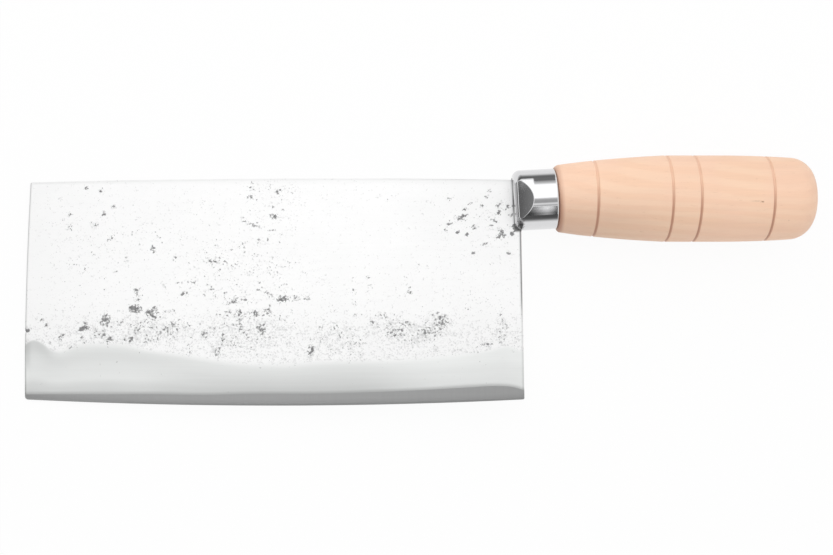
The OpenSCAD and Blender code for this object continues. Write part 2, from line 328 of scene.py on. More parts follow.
@dataclass
class Graph:
    """A node tree that is being built."""

    tree: NodeTree

    def add(self, kind: str, values: dict | None = None, **settings: object) -> Node:
        """Adds a node.

        Args:
            kind: The node's type.
            values: Values or source sockets for its inputs, by name or number.
            settings: Properties of the node itself.

        Returns:
            The new node.
        """
        node = self.tree.nodes.new(kind)
        across, down = len(self.tree.nodes) % 12, len(self.tree.nodes) // 12
        node.location = (180 * across, -220 * down)
        for key, value in settings.items():
            setattr(node, key, value)
        for key, value in (values or {}).items():
            self.feed(node.inputs[key], value)
        return node

    def feed(self, socket: NodeSocket, value: object) -> None:
        """Links a socket to a source or sets its value.

        Args:
            socket: The input.
            value: A source socket, or a plain value.
        """
        if isinstance(value, NodeSocket):
            self.tree.links.new(value, socket)
        else:
            socket.default_value = value

    def math(self, operation: str, *values: object) -> NodeSocket:
        """One step of arithmetic on numbers or source sockets."""
        node = self.add("ShaderNodeMath", dict(enumerate(values)), operation=operation)
        return node.outputs[0]

    def times(self, value: object, factor: object) -> NodeSocket:
        """A value times another."""
        return self.math("MULTIPLY", value, factor)

    def plus(self, value: object, other: object) -> NodeSocket:
        """A value and another together."""
        return self.math("ADD", value, other)

    def minus(self, value: object, other: object) -> NodeSocket:
        """A value less another."""
        return self.math("SUBTRACT", value, other)

    def linear(self, value: object, slope: object, start: object) -> NodeSocket:
        """A value times a slope, and a start added."""
        return self.math("MULTIPLY_ADD", value, slope, start)

    def part(self, place: object, axis: str) -> NodeSocket:
        """The X, Y or Z of a place."""
        return self.add("ShaderNodeSeparateXYZ", {"Vector": place}).outputs[axis]

    def vector(self, operation: str, *values: object) -> NodeSocket:
        """One step of vector arithmetic, which gives a number for a length or a dot product."""
        node = self.add("ShaderNodeVectorMath", dict(enumerate(values)), operation=operation)
        return node.outputs["Value" if operation in ("LENGTH", "DOT_PRODUCT") else "Vector"]

    def scaled(self, colour: object, tone: object) -> NodeSocket:
        """A colour or vector times a number."""
        values = {0: colour, "Scale": tone}
        return self.add("ShaderNodeVectorMath", values, operation="SCALE").outputs[0]

    def ease(self, value: object, low: object, high: object) -> NodeSocket:
        """Smooth step of a value, 0 at low and 1 at high."""
        values = {"Value": value, "From Min": low, "From Max": high}
        return self.add("ShaderNodeMapRange", values, interpolation_type="SMOOTHSTEP").outputs["Result"]

    def noise(self, place: object, scale: object, detail: float, rough: float = 0.5) -> NodeSocket:
        """Noise between 0 and 1, with cells to a unit of length, finer layers and their strength."""
        values = {"Vector": place, "Scale": scale, "Detail": detail, "Roughness": rough}
        return self.add("ShaderNodeTexNoise", values).outputs[0]

    def mix(self, share: object, low: object, high: object) -> NodeSocket:
        """Mixes two colours, by the share of the second."""
        node = self.add("ShaderNodeMix", {0: share, 6: low, 7: high}, data_type="RGBA")
        return node.outputs[2]

    def ramp(self, share: object, stops: Sequence[tuple[float, float]]) -> NodeSocket:
        """Grey tones along a ramp.

        Args:
            share: Place on the ramp.
            stops: Pairs of place and tone.

        Returns:
            The tone's socket.
        """
        node = self.add("ShaderNodeValToRGB", {"Fac": share})
        elements = node.color_ramp.elements
        while len(elements) < len(stops):
            elements.new(0.5)
        for element, (place, tone) in zip(elements, stops):
            element.position = place
            element.color = (tone, tone, tone, 1)
        node.color_ramp.interpolation = "EASE"
        return node.outputs["Color"]

    def read(self, attribute: str) -> NodeSocket:
        """A number that the piece's mesh holds, by its name."""
        return self.add("ShaderNodeAttribute", attribute_name=attribute).outputs["Fac"]

    def use(self, group: NodeTree, **values: object) -> Sockets:
        """Places a shared effect.

        Args:
            group: The effect's group.
            values: Its inputs, with underscores for spaces.

        Returns:
            The group's outputs by name.
        """
        node = self.add("ShaderNodeGroup", node_tree=group)
        for key, value in values.items():
            self.feed(node.inputs[key.replace("_", " ")], value)
        return dict(node.outputs.items())


def new_group(name: str, kind: str, inputs: dict, outputs: dict) -> tuple[Graph, Sockets]:
    """Starts a node group with named sockets.

    Args:
        name: Name of the group.
        kind: Type of the tree.
        inputs: Socket type and default value by name, with None for no default.
        outputs: Socket type by name.

    Returns:
        The graph, and the sockets of the group's inputs by name.
    """
    tree = bpy.data.node_groups.new(name, kind)
    for socket_name, (socket_type, default) in inputs.items():
        socket = tree.interface.new_socket(name=socket_name, in_out="INPUT", socket_type=socket_type)
        if default is not None:
            socket.default_value = default
    for socket_name, socket_type in outputs.items():
        tree.interface.new_socket(name=socket_name, in_out="OUTPUT", socket_type=socket_type)
    graph = Graph(tree)
    return graph, dict(graph.add("NodeGroupInput").outputs.items())


# Shared surface effects


class Effects:
    """Node groups that several finishes use. Places are in millimetres."""

    def __init__(self) -> None:
        """Builds each group once."""
        self.lines = self.build_lines()
        self.specks = self.build_specks()
        self.fleck = self.build_fleck()

    def build_lines(self) -> NodeTree:
        """Fine lines in one direction, as brushing or wood fibres leave.

        Returns:
            The group, with the tone of the lines around 0.5 and their height.
        """
        inputs = {"Place": (VECTOR, None), "Density": (VECTOR, (0.03, 2.0, 1.0)), "Seed": (FLOAT, 0.0)}
        graph, given = new_group("fine_lines", "ShaderNodeTree", inputs, {"Tone": FLOAT, "Height": FLOAT})
        place = graph.vector("MULTIPLY", given["Place"], given["Density"])
        shift = graph.add("ShaderNodeCombineXYZ", {"Z": given["Seed"]}).outputs[0]
        place = graph.vector("ADD", place, shift)
        wide = graph.noise(place, 0.45, 2.0)
        fine = graph.noise(place, 1.7, 3.0, 0.7)
        tone = graph.linear(wide, 0.45, graph.times(fine, 0.55))
        graph.add("NodeGroupOutput", {"Tone": tone, "Height": fine})
        return graph.tree

    def build_specks(self) -> NodeTree:
        """Small ragged specks whose number follows a density.

        Returns:
            The group, with a mask and a tone that varies from speck to speck.
        """
        inputs = {
            "Place": (VECTOR, None),
            "Density": (FLOAT, 0.0),
            "Size": (FLOAT, 1.0),
            "Seed": (FLOAT, 0.0),
        }
        graph, given = new_group("ragged_specks", "ShaderNodeTree", inputs, {"Mask": FLOAT, "Tone": FLOAT})
        shift = graph.add("ShaderNodeCombineXYZ", {"Z": given["Seed"]}).outputs[0]
        place = graph.vector("ADD", given["Place"], shift)
        scale = graph.math("DIVIDE", 1.0, given["Size"])
        grain = graph.noise(place, scale, 4.0, 0.72)
        patch = graph.noise(place, graph.times(scale, 0.33), 1.0)
        both = graph.linear(grain, 0.72, graph.times(patch, 0.28))
        limit = graph.linear(given["Density"], -0.22, 0.665)
        mask = graph.ease(both, limit, graph.plus(limit, 0.025))
        tone = graph.noise(place, graph.times(scale, 0.8), 0.0)
        graph.add("NodeGroupOutput", {"Mask": mask, "Tone": tone})
        return graph.tree

    def build_fleck(self) -> NodeTree:
        """One soft ragged spot at a place.

        Returns:
            The group, with the spot's mask.
        """
        inputs = {
            "Place": (VECTOR, None),
            "Centre": (VECTOR, None),
            "Half Size": (VECTOR, (1.0, 1.0, 1.0)),
        }
        graph, given = new_group("single_fleck", "ShaderNodeTree", inputs, {"Mask": FLOAT})
        away = graph.vector("SUBTRACT", given["Place"], given["Centre"])
        away = graph.vector("DIVIDE", away, given["Half Size"])
        ragged = graph.noise(given["Place"], 1.5, 2.0)
        distance = graph.plus(graph.vector("LENGTH", away), ragged)
        graph.add("NodeGroupOutput", {"Mask": graph.ease(distance, 1.5, 0.8)})
        return graph.tree


# Finishes


class Surface(Graph):
    """A material with one Principled BSDF and places in millimetres."""

    def __init__(self, name: str) -> None:
        """Starts the material.

        Args:
            name: Its name.
        """
        self.material = bpy.data.materials.new(name)
        self.material.use_nodes = True
        super().__init__(self.material.node_tree)
        self.inputs = self.tree.nodes["Principled BSDF"].inputs
        coordinates = self.add("ShaderNodeTexCoord").outputs["Object"]
        place = self.add("ShaderNodeMapping", {"Vector": coordinates, "Scale": (1 / MM,) * 3})
        self.place = place.outputs[0]

    def cover(
        self, colour: object, rough: object, height: object, strength: float, depth: float, metal: float = 1.0
    ) -> Material:
        """Gives the shader its colour, roughness and fine relief.

        Args:
            colour: Base colour.
            rough: Roughness.
            height: Height of the relief, from 0 to 1.
            strength: Strength of the relief.
            depth: Depth in millimetres that a height of 1 stands for.
            metal: 1 for metal, else 0.

        Returns:
            The finished material.
        """
        self.feed(self.inputs["Base Color"], colour)
        self.feed(self.inputs["Roughness"], rough)
        self.inputs["Metallic"].default_value = metal
        values = {"Strength": strength, "Distance": depth * MM, "Height": height}
        self.feed(self.inputs["Normal"], self.add("ShaderNodeBump", values).outputs["Normal"])
        return self.material


@dataclass(frozen=True)
class Finish:
    """What every finish has."""

    name: str


@dataclass(frozen=True)
class CladdingFinish(Finish):
    """Pale brushed flat with dark forge marks, over a greyer ground bevel, with painted shade on the bevel,
    the flat and the rims.
    """

    flat: tuple = (0.99, 0.991, 0.99)
    bevel_tint: tuple = (0.985, 1.0, 0.99)
    mark_dark: tuple = (0.13, 0.13, 0.135, 1)
    mark_light: tuple = (0.38, 0.38, 0.38, 1)
    front_shade_tones: tuple = ((0.0, 0.59), (0.14, 0.68), (0.36, 0.8), (0.55, 0.78), (0.8, 0.735), (1.0, 0.79))
    middle_shade_tones: tuple = (
        (0.0, 0.57), (0.12, 0.61), (0.3, 0.67), (0.5, 0.715), (0.65, 0.75), (0.8, 0.775), (1.0, 0.83),
    )
    heel_shade_tones: tuple = ((0.0, 0.7), (0.14, 0.835), (0.46, 0.865), (0.8, 0.915), (1.0, 0.92))
    flat_roughness: float = 0.4
    bevel_roughness: float = 0.34

    def build(self, effects: Effects) -> Material:
        """Builds the material.

        Args:
            effects: The shared effects.

        Returns:
            The material.
        """
        graph = Surface(self.name)
        place = graph.place
        lines = graph.use(effects.lines, Place=place, Density=(0.025, 1.6, 1.0))
        grind = graph.read("grind")
        colour = graph.mix(grind, self.flat_colour(graph, lines), self.bevel_colour(graph, lines))
        # Faint specks, which thin out where no patch of marks lies and end at the bevel
        marks = graph.read("marks")
        y = graph.part(place, "Y")
        faint = graph.linear(graph.ease(y, -46.0, -60.0), 0.26, 0.3)
        faint = graph.times(graph.linear(marks, 0.5, faint), graph.ease(grind, 0.9, 0.2))
        haze = graph.use(effects.specks, Place=place, Density=faint, Size=0.8, Seed=11.0)
        share = graph.times(haze["Mask"], graph.linear(haze["Tone"], 0.7, -0.08))
        colour = graph.mix(share, colour, self.mark_light)
        # The dark forge marks, of many tones
        specks = graph.use(effects.specks, Place=place, Density=marks, Size=1.1)
        mask = graph.times(specks["Mask"], 0.92)
        mark = graph.mix(specks["Tone"], self.mark_dark, self.mark_light)
        # Painted shade in thin lines at the blade's front, heel and spine, and at the ferrule's foot
        colour = graph.scaled(colour, graph.minus(1.0, graph.read("rim")))
        finer = self.bevel_roughness - self.flat_roughness
        rough = graph.linear(grind, finer, self.flat_roughness - 0.04)
        rough = graph.linear(lines["Tone"], 0.08, rough)
        rough = graph.linear(mask, 0.2, rough)
        relief = graph.linear(mask, -1.5, lines["Height"])
        return graph.cover(graph.mix(mask, colour, mark), rough, relief, 0.12, 0.02)

    def flat_colour(self, graph: Surface, lines: Sockets) -> NodeSocket:
        """Colour of the flat: pale, with faint lines and clouds, and painted shade low down and towards the
        ferrule.

        Args:
            graph: The surface.
            lines: The brushed lines.

        Returns:
            The colour.
        """
        place = graph.place
        cloud = graph.noise(place, 0.07, 2.0)
        tone = graph.linear(lines["Tone"], 0.07, 0.95)
        tone = graph.linear(cloud, 0.04, tone)
        x, y = graph.part(place, "X"), graph.part(place, "Y")
        # Painted shade: slightly darker low down, and darker on the heel's upper part by the ferrule
        low = graph.ease(y, -44.0, -64.0)
        near = graph.times(graph.ease(x, -140.0, -80.0), graph.ease(y, -45.0, 2.0))
        tone = graph.linear(low, -0.015, tone)
        return graph.scaled(self.flat, graph.linear(near, -0.055, tone))

    def bevel_colour(self, graph: Surface, lines: Sockets) -> NodeSocket:
        """Colour of the bevel: painted shade of its convex grind, in tones that follow the height above the
        core line.

        Args:
            graph: The surface.
            lines: The brushed lines.

        Returns:
            The colour.
        """
        x = graph.part(graph.place, "X")
        drift = graph.linear(graph.noise(graph.place, 0.035, 1.0), 0.12, -0.06)
        height = graph.plus(graph.read("rise"), drift)
        tones = graph.ramp(height, self.middle_shade_tones)
        tones = graph.mix(graph.ease(x, -200.0, -245.0), tones, graph.ramp(height, self.front_shade_tones))
        tones = graph.mix(graph.ease(x, -150.0, -95.0), tones, graph.ramp(height, self.heel_shade_tones))
        tones = graph.vector("MULTIPLY", tones, self.bevel_tint)
        wander = graph.linear(lines["Tone"], 0.1, 0.95)
        # Painted shade: darker just above the core strip, and at the bevel's front corner
        seam = graph.linear(graph.ease(graph.read("seam"), -0.3, 1.7), 0.26, 0.74)
        corner = graph.times(graph.ease(x, -273.0, -282.0), graph.ease(height, 0.74, 0.95))
        wander = graph.linear(corner, -0.15, wander)
        return graph.scaled(tones, graph.times(wander, seam))


@dataclass(frozen=True)
class CoreFinish(Finish):
    """Darker hard steel with fine stone marks, darkest at the sharp edge."""

    tone: tuple = (0.362, 0.364, 0.364)
    roughness: float = 0.36

    def build(self, effects: Effects) -> Material:
        """Builds the material.

        Args:
            effects: The shared effects.

        Returns:
            The material.
        """
        graph = Surface(self.name)
        place = graph.place
        upright = graph.use(effects.lines, Place=place, Density=(1.5, 0.06, 1.0), Seed=4.0)
        along = graph.use(effects.lines, Place=place, Density=(0.03, 2.4, 1.0), Seed=9.0)
        lines = graph.linear(upright["Tone"], 0.16, 0.84)
        lines = graph.linear(along["Tone"], 0.16, lines)
        height = graph.read("height")
        fade = graph.linear(graph.ease(height, 0.4, 3.4), 0.13, 0.89)
        fade = graph.linear(graph.ease(height, 0.85, 0.7), 0.26, fade)
        colour = graph.scaled(self.tone, graph.times(lines, fade))
        rough = graph.linear(upright["Tone"], 0.1, self.roughness - 0.05)
        return graph.cover(colour, rough, upright["Height"], 0.1, 0.02)


@dataclass(frozen=True)
class PolishedFinish(Finish):
    """Mirror polish with faint wiping haze, hairline scratches and a painted dark reflection low on its
    front, beside the blade.
    """

    tone: tuple = (0.7, 0.7, 0.71)
    roughness: float = 0.05
    painted_shade_place: tuple = (-69.9, -11.3, 4.0)
    painted_shade_size: tuple = (1.9, 4.0, 8.0)

    def build(self, effects: Effects) -> Material:
        """Builds the material.

        Args:
            effects: The shared effects.

        Returns:
            The material.
        """
        graph = Surface(self.name)
        place = graph.place
        haze = graph.noise(place, 0.35, 3.0)
        scratches = graph.use(effects.lines, Place=place, Density=(0.25, 3.0, 3.0), Seed=2.0)
        # Painted dark reflection of the shaded gap, low on the front beside the blade
        foot = graph.use(effects.fleck, Place=place, Centre=self.painted_shade_place, Half_Size=self.painted_shade_size)
        tone = graph.linear(haze, 0.05, 0.975)
        tone = graph.linear(foot["Mask"], -0.8, tone)
        rough = graph.linear(haze, 0.06, self.roughness - 0.03)
        return graph.cover(graph.scaled(self.tone, tone), rough, scratches["Height"], 0.05, 0.003)


@dataclass(frozen=True)
class SteelFinish(Finish):
    """Plain worked steel of a washer, a tang or a peened head."""

    tone: tuple
    roughness: float
    density: tuple
    scale_share: float

    def build(self, effects: Effects) -> Material:
        """Builds the material.

        Args:
            effects: The shared effects.

        Returns:
            The material.
        """
        graph = Surface(self.name)
        place = graph.place
        lines = graph.use(effects.lines, Place=place, Density=self.density, Seed=6.0)
        specks = graph.use(effects.specks, Place=place, Density=self.scale_share, Size=0.8, Seed=3.0)
        tone = graph.linear(lines["Tone"], 0.3, 0.85)
        tone = graph.linear(specks["Mask"], -0.45, tone)
        rough = graph.linear(lines["Tone"], 0.2, self.roughness - 0.1)
        return graph.cover(graph.scaled(self.tone, tone), rough, lines["Height"], 0.3, 0.03)


@dataclass(frozen=True)
class WoodFinish(Finish):
    """Pale close-grained wood with faint streaks, clouds, pores and two brown flecks, under painted shade and
    light.
    """

    pale: tuple = (0.935, 0.65, 0.47, 1)
    warm: tuple = (0.917, 0.614, 0.434, 1)
    pink: tuple = (0.922, 0.612, 0.454, 1)
    joint: tuple = (-54.1, -51.6)
    pore: tuple = (0.62, 0.36, 0.22, 1)
    pore_shape: tuple = (0.16, 1.0, 1.0)
    brown: tuple = (0.3, 0.13, 0.05, 1)
    cut: tuple = (0.44, 0.21, 0.14, 1)
    knot: tuple = (32.0, -2.3, 19.1)
    knot_size: tuple = (1.5, 0.55, 1.0)
    tail: tuple = (29.6, -2.0, 19.1)
    tail_size: tuple = (3.6, 0.35, 1.0)
    dot: tuple = (44.2, -10.4, 15.6)
    dot_size: tuple = (0.6, 0.6, 0.8)
    droop: float = 0.052
    sheen: float = 0.35

    def build(self, effects: Effects) -> Material:
        """Builds the material.

        Args:
            effects: The shared effects.

        Returns:
            The material.
        """
        graph = Surface(self.name)
        place = graph.place
        fibres = graph.use(effects.lines, Place=place, Density=(0.05, 1.1, 1.1), Seed=12.0)
        colour = graph.mix(graph.ease(self.figure(graph), 0.2, 0.8), self.pale, self.warm)
        cloud = graph.ease(graph.noise(place, 0.045, 2.0), 0.35, 0.7)
        colour = graph.mix(graph.times(cloud, 0.6), colour, self.pink)
        long_way = graph.vector("MULTIPLY", place, self.pore_shape)
        pores = graph.use(effects.specks, Place=long_way, Density=0.2, Size=0.55)
        colour = graph.mix(graph.times(pores["Mask"], 0.3), colour, self.pore)
        tone = graph.linear(fibres["Tone"], 0.16, 0.92)
        colour = graph.scaled(colour, graph.times(tone, self.painted_shading(graph)))
        # Darker in the grooves and at the joint with the ferrule: dirt, with painted shade that makes both
        # stronger on the lower side
        along = graph.vector("DOT_PRODUCT", place, (1.0, self.droop, 0.0))
        y = graph.part(place, "Y")
        side = graph.linear(graph.ease(y, 9.0, -7.0), 0.62, 0.2)
        colour = graph.mix(graph.times(graph.read("groove"), side), colour, self.cut)
        side = graph.linear(graph.ease(y, 7.0, -8.0), 0.4, 0.4)
        joint_dirt_and_shade = graph.times(graph.ease(along, self.joint[1], self.joint[0]), side)
        colour = graph.mix(joint_dirt_and_shade, colour, self.cut)
        # A small knot, its tail and a dot
        for centre, size, share in (
            (self.knot, self.knot_size, 0.75),
            (self.tail, self.tail_size, 0.3),
            (self.dot, self.dot_size, 0.5),
        ):
            spot = graph.use(effects.fleck, Place=place, Centre=centre, Half_Size=size)
            colour = graph.mix(graph.times(spot["Mask"], share), colour, self.brown)
        rough = graph.linear(fibres["Tone"], 0.16, 0.42)
        graph.inputs["Specular IOR Level"].default_value = self.sheen
        return graph.cover(colour, rough, fibres["Height"], 0.12, 0.05, metal=0.0)

    def figure(self, graph: Surface) -> NodeSocket:
        """Growth rings cut lengthwise, as broad wavering bands along the handle.

        Args:
            graph: The surface.

        Returns:
            The bands, from 0 to 1.
        """
        place = graph.place
        bend = graph.vector("MULTIPLY", place, (0.012, 0.05, 0.05))
        warp = graph.linear(graph.noise(bend, 1.0, 2.0), 14.0, -7.0)
        across = graph.linear(graph.part(place, "X"), 0.07, graph.part(place, "Y"))
        across = graph.linear(graph.part(place, "Z"), 0.45, across)
        wave = graph.math("SINE", graph.times(graph.plus(across, warp), 1.1))
        return graph.linear(wave, 0.5, 0.5)

    def painted_shading(self, graph: Surface) -> NodeSocket:
        """Painted shade and light on the wood: darker under the front, lighter below, a little darker atop
        the butt's side.

        Args:
            graph: The surface.

        Returns:
            The tone.
        """
        y = graph.part(graph.place, "Y")
        front = graph.ease(graph.part(graph.place, "X"), 30.0, -52.0)
        low, up = graph.ease(y, 7.0, -11.0), graph.ease(y, 1.0, 13.0)
        tone = graph.linear(graph.times(front, low), -0.17, 0.985)
        tone = graph.linear(graph.ease(y, 10.0, -14.0), 0.075, tone)
        back = graph.minus(1.0, front)
        return graph.linear(graph.times(back, up), -0.04, tone)


@dataclass(frozen=True)
class ResinFinish(Finish):
    """Cured amber resin with fine bubbles and dust."""

    clear: tuple = (0.62, 0.45, 0.2, 1)
    dull: tuple = (0.42, 0.28, 0.12, 1)

    def build(self, effects: Effects) -> Material:
        """Builds the material.

        Args:
            effects: The shared effects.

        Returns:
            The material.
        """
        graph = Surface(self.name)
        place = graph.place
        specks = graph.use(effects.specks, Place=place, Density=0.35, Size=0.7, Seed=21.0)
        cloud = graph.noise(place, 0.2, 3.0)
        colour = graph.mix(cloud, self.clear, self.dull)
        colour = graph.mix(graph.times(specks["Mask"], 0.6), colour, self.dull)
        rough = graph.linear(cloud, 0.2, 0.15)
        return graph.cover(colour, rough, specks["Mask"], 0.3, 0.05, metal=0.0)


# Ferrule


@dataclass
class Ferrule:
    """The pressed steel cup on the handle's front, in its own frame with its rear rim at X = 0."""

    radius: float = 13.3
    length: float = 18.7
    wall: float = 1.2
    corner: float = 3.4
    rim_round: float = 0.8
    droop: float = 3.0
    rim_x: float = -54.1
    flat_angle: float = 30.0
    flat_tip: float = 11.2
    flat_round: float = 2.8
    edge_blend: float = 0.08
    slot_half: float = 1.15
    slot_top: float = 8.95
    slot_rear: float = -69.45
    slot_lean: float = 1.1
    columns: int = 384
    skin_tolerance: float = 0.01
    halvings: int = 34
    least_share: float = 0.4
    facing_share: float = 0.7

    def to_own(self, x: Array, y: Array) -> tuple[Array, Array]:
        """Turns places of the shared frame into the ferrule's own.

        Args:
            x: Places along the shared X.
            y: Places along the shared Y.

        Returns:
            Places along the ferrule's own X and Y.
        """
        along = direction(self.droop)
        away = x - self.rim_x
        return away * along[0] + y * along[1], y * along[0] - away * along[1]

    def to_shared(self, own: Array, moved: bool = True) -> Array:
        """Turns points or directions of the ferrule's own frame into the shared one.

        Args:
            own: Points or directions in the own frame.
            moved: Whether they are points, which move as well as turn.

        Returns:
            The same points or directions in the shared frame.
        """
        along = direction(self.droop)
        x = own[..., 0] * along[0] - own[..., 1] * along[1] + (self.rim_x if moved else 0)
        y = own[..., 0] * along[1] + own[..., 1] * along[0]
        return np.stack([x, y, own[..., 2]], axis=-1)

    def level(self, points: Array, inset: float) -> Array:
        """How far points lie outside the cup's skin, or inside where negative.

        Args:
            points: Points in the own frame.
            inset: Distance by which the skin is drawn in.

        Returns:
            The signed distances, near the skin.
        """
        x, across = points[..., 0], np.hypot(points[..., 1], points[..., 2])
        corner = self.corner - inset
        ahead = inset - self.length + corner - x
        aside = across - (self.radius - inset - corner)
        beyond = np.hypot(np.maximum(ahead, 0), np.maximum(aside, 0))
        round_cup = beyond + np.minimum(np.maximum(ahead, aside), 0) - corner
        pressed = self.pressed_level(x, np.abs(points[..., 2]), inset)
        share = np.clip(0.5 + 0.5 * (round_cup - pressed) / self.edge_blend, 0, 1)
        bulge = self.edge_blend * share * (1 - share)
        return pressed + (round_cup - pressed) * share + bulge

    def pressed_level(self, x: Array, z: Array, inset: float) -> Array:
        """How far points lie outside the pressed flat, its rounding and the front face.

        Args:
            x: Places along the own X.
            z: Distances from the blade's plane.
            inset: Distance by which the faces are drawn in.

        Returns:
            The signed distances.
        """
        along, normal = direction(self.flat_angle), direction(90 + self.flat_angle)
        tip = np.array([-self.flat_tip, self.radius]) - inset * normal
        radius = self.flat_round - inset
        front = inset - self.length
        centre_x = front + radius
        centre_z = tip[1] + ((centre_x - tip[0]) * along[1] - radius) / along[0]
        ahead, above = x - centre_x, z - centre_z
        on_round = (above >= 0) & (ahead * along[0] + above * along[1] <= 0)
        slope = (x - tip[0]) * normal[0] + (z - tip[1]) * normal[1]
        faces = np.where(above < 0, front - x, slope)
        return np.where(on_round, np.hypot(ahead, above) - radius, faces)

    def outline(self, inset: float) -> list:
        """Half outline of the cup before it is pressed, from the front's middle to the rim.

        Args:
            inset: Distance by which it is drawn in.

        Returns:
            Points of place and radius.
        """
        radius, corner, front = self.radius - inset, self.corner - inset, inset - self.length
        face = [(front, r) for r in np.linspace(0, radius - corner, 27)[:-1]]
        bend = arc((front + corner, radius - corner), corner, 180, 90, 24)
        # Close steps as far as the pressed flat reaches
        fine = [(x, radius) for x in np.arange(front + corner + 0.15, -8.0, 0.15)]
        return face + bend + fine + [(x, radius) for x in np.arange(-7.9, -0.7, 0.4)]

    def pull_in(self, own: Array, inset: float) -> Array:
        """Draws the points of the unpressed cup onto the pressed skin.

        Args:
            own: Points in the own frame.
            inset: Distance by which the skin is drawn in.

        Returns:
            The moved points.
        """
        centre = np.array([-self.length / 2, 0, 0])
        low, high = np.full(own.shape[:-1], self.least_share), np.ones(own.shape[:-1])
        for _ in range(self.halvings):
            middle = (low + high) / 2
            inside = self.level(centre + (own - centre) * middle[..., None], inset) < 0
            low, high = np.where(inside, middle, low), np.where(inside, high, middle)
        return centre + (own - centre) * high[..., None]

    def build(self, finish: Material) -> Object:
        """Builds the ferrule.

        Args:
            finish: Its material.

        Returns:
            The ferrule.
        """
        turns = np.linspace(0, 2 * math.pi, self.columns, endpoint=False)
        around = np.stack([np.cos(turns), np.sin(turns)], axis=-1)
        skins = []
        for inset in (0.0, self.wall):
            rows = np.array(self.outline(inset))
            own = np.empty((len(rows), self.columns, 3))
            own[..., 0] = rows[:, None, 0]
            own[..., 1:] = rows[:, None, None, 1] * around[None]
            skins.append(self.pull_in(own, inset))
        reach = self.radius - self.rim_round
        lip = arc((-self.rim_round, reach), self.rim_round, 90, 0, 6) + [(0.0, self.radius - self.wall)]
        rim = np.empty((len(lip), self.columns, 3))
        rim[..., 0] = np.array(lip)[:, None, 0]
        rim[..., 1:] = np.array(lip)[:, None, None, 1] * around[None]
        points = np.concatenate([skins[0], rim, skins[1][::-1]])
        faces = grid_faces(len(points), self.columns, closed=True)
        mesh = make_mesh("polished_ferrule", self.to_shared(points).reshape(-1, 3), faces)
        join_doubles(mesh)
        made = link_object("polished_ferrule", mesh)
        self.cut_slot(made)
        shade(made.data, sharp_above=25)
        self.true_normals(made.data)
        carry(made, finish, "ferrule")
        return made

    def cut_slot(self, made: Object) -> None:
        """Cuts the slot that the blade's root goes into.

        Args:
            made: The ferrule.
        """
        front = self.rim_x - 2 * self.length
        drop = 3 * self.radius
        low = self.slot_top - drop
        rear_low = self.slot_rear + drop * math.tan(math.radians(self.slot_lean))
        plan = [(front, low), (rear_low, low), (self.slot_rear, self.slot_top), (front, self.slot_top)]
        corners = [(x, y, z) for z in (-self.slot_half, self.slot_half) for x, y in plan]
        sides = [(i, (i + 1) % 4, (i + 1) % 4 + 4, i + 4) for i in range(4)]
        mesh = make_mesh("slot_cutter", corners, [(3, 2, 1, 0), (4, 5, 6, 7), *sides])
        cutter = link_object("slot_cutter", mesh)
        modifier = made.modifiers.new("slot", "BOOLEAN")
        modifier.operation, modifier.solver, modifier.object = "DIFFERENCE", "EXACT", cutter
        apply_modifiers(made)
        bpy.data.objects.remove(cutter)
        bpy.data.meshes.remove(mesh)

    def true_normals(self, mesh: Mesh) -> None:
        """Gives the polished skin the exact normals of its shape.

        Args:
            mesh: The ferrule's mesh.
        """
        places = mesh_points(mesh) / MM
        own = places.copy()
        own[:, 0], own[:, 1] = self.to_own(places[:, 0], places[:, 1])
        corner = read_all(mesh.loops, "vertex_index", np.int32)
        normals = read_all(mesh.corner_normals, "vector")
        sizes = read_all(mesh.polygons, "loop_total", np.int32)
        facing = np.repeat(read_all(mesh.polygons, "normal"), sizes, axis=0)
        step = 1e-3
        for inset, sign in ((0.0, 1), (self.wall, -1)):
            slope = np.stack(
                [self.level(own + step * e, inset) - self.level(own - step * e, inset) for e in np.eye(3)],
                axis=-1,
            )
            slope *= sign / np.maximum(np.linalg.norm(slope, axis=-1, keepdims=True), 1e-12)
            slope = self.to_shared(slope, moved=False)[corner]
            on_skin = (np.abs(self.level(own, inset)) < self.skin_tolerance)[corner]
            fits = on_skin & (np.einsum("ij,ij->i", facing, slope) > self.facing_share)
            fits &= own[corner, 0] < -2 * self.rim_round
            normals[fits] = slope[fits]
        mesh.normals_split_custom_set(normals.tolist())


# Blade


@dataclass(frozen=True)
class Cluster:
    """A patch of forge marks: its centre, half sizes, turn in degrees and density."""

    x: float
    y: float
    half_x: float
    half_y: float
    density: float
    turn: float = 0.0

    def over(self, x: Array, y: Array) -> Array:
        """Density of this patch at places.

        Args:
            x: Places along X.
            y: Places along Y.

        Returns:
            The density at each place.
        """
        along = direction(self.turn)
        dx, dy = x - self.x, y - self.y
        a = (dx * along[0] + dy * along[1]) / self.half_x
        b = (dy * along[0] - dx * along[1]) / self.half_y
        return self.density * smooth_step(1.35, 0.55, np.hypot(a, b))


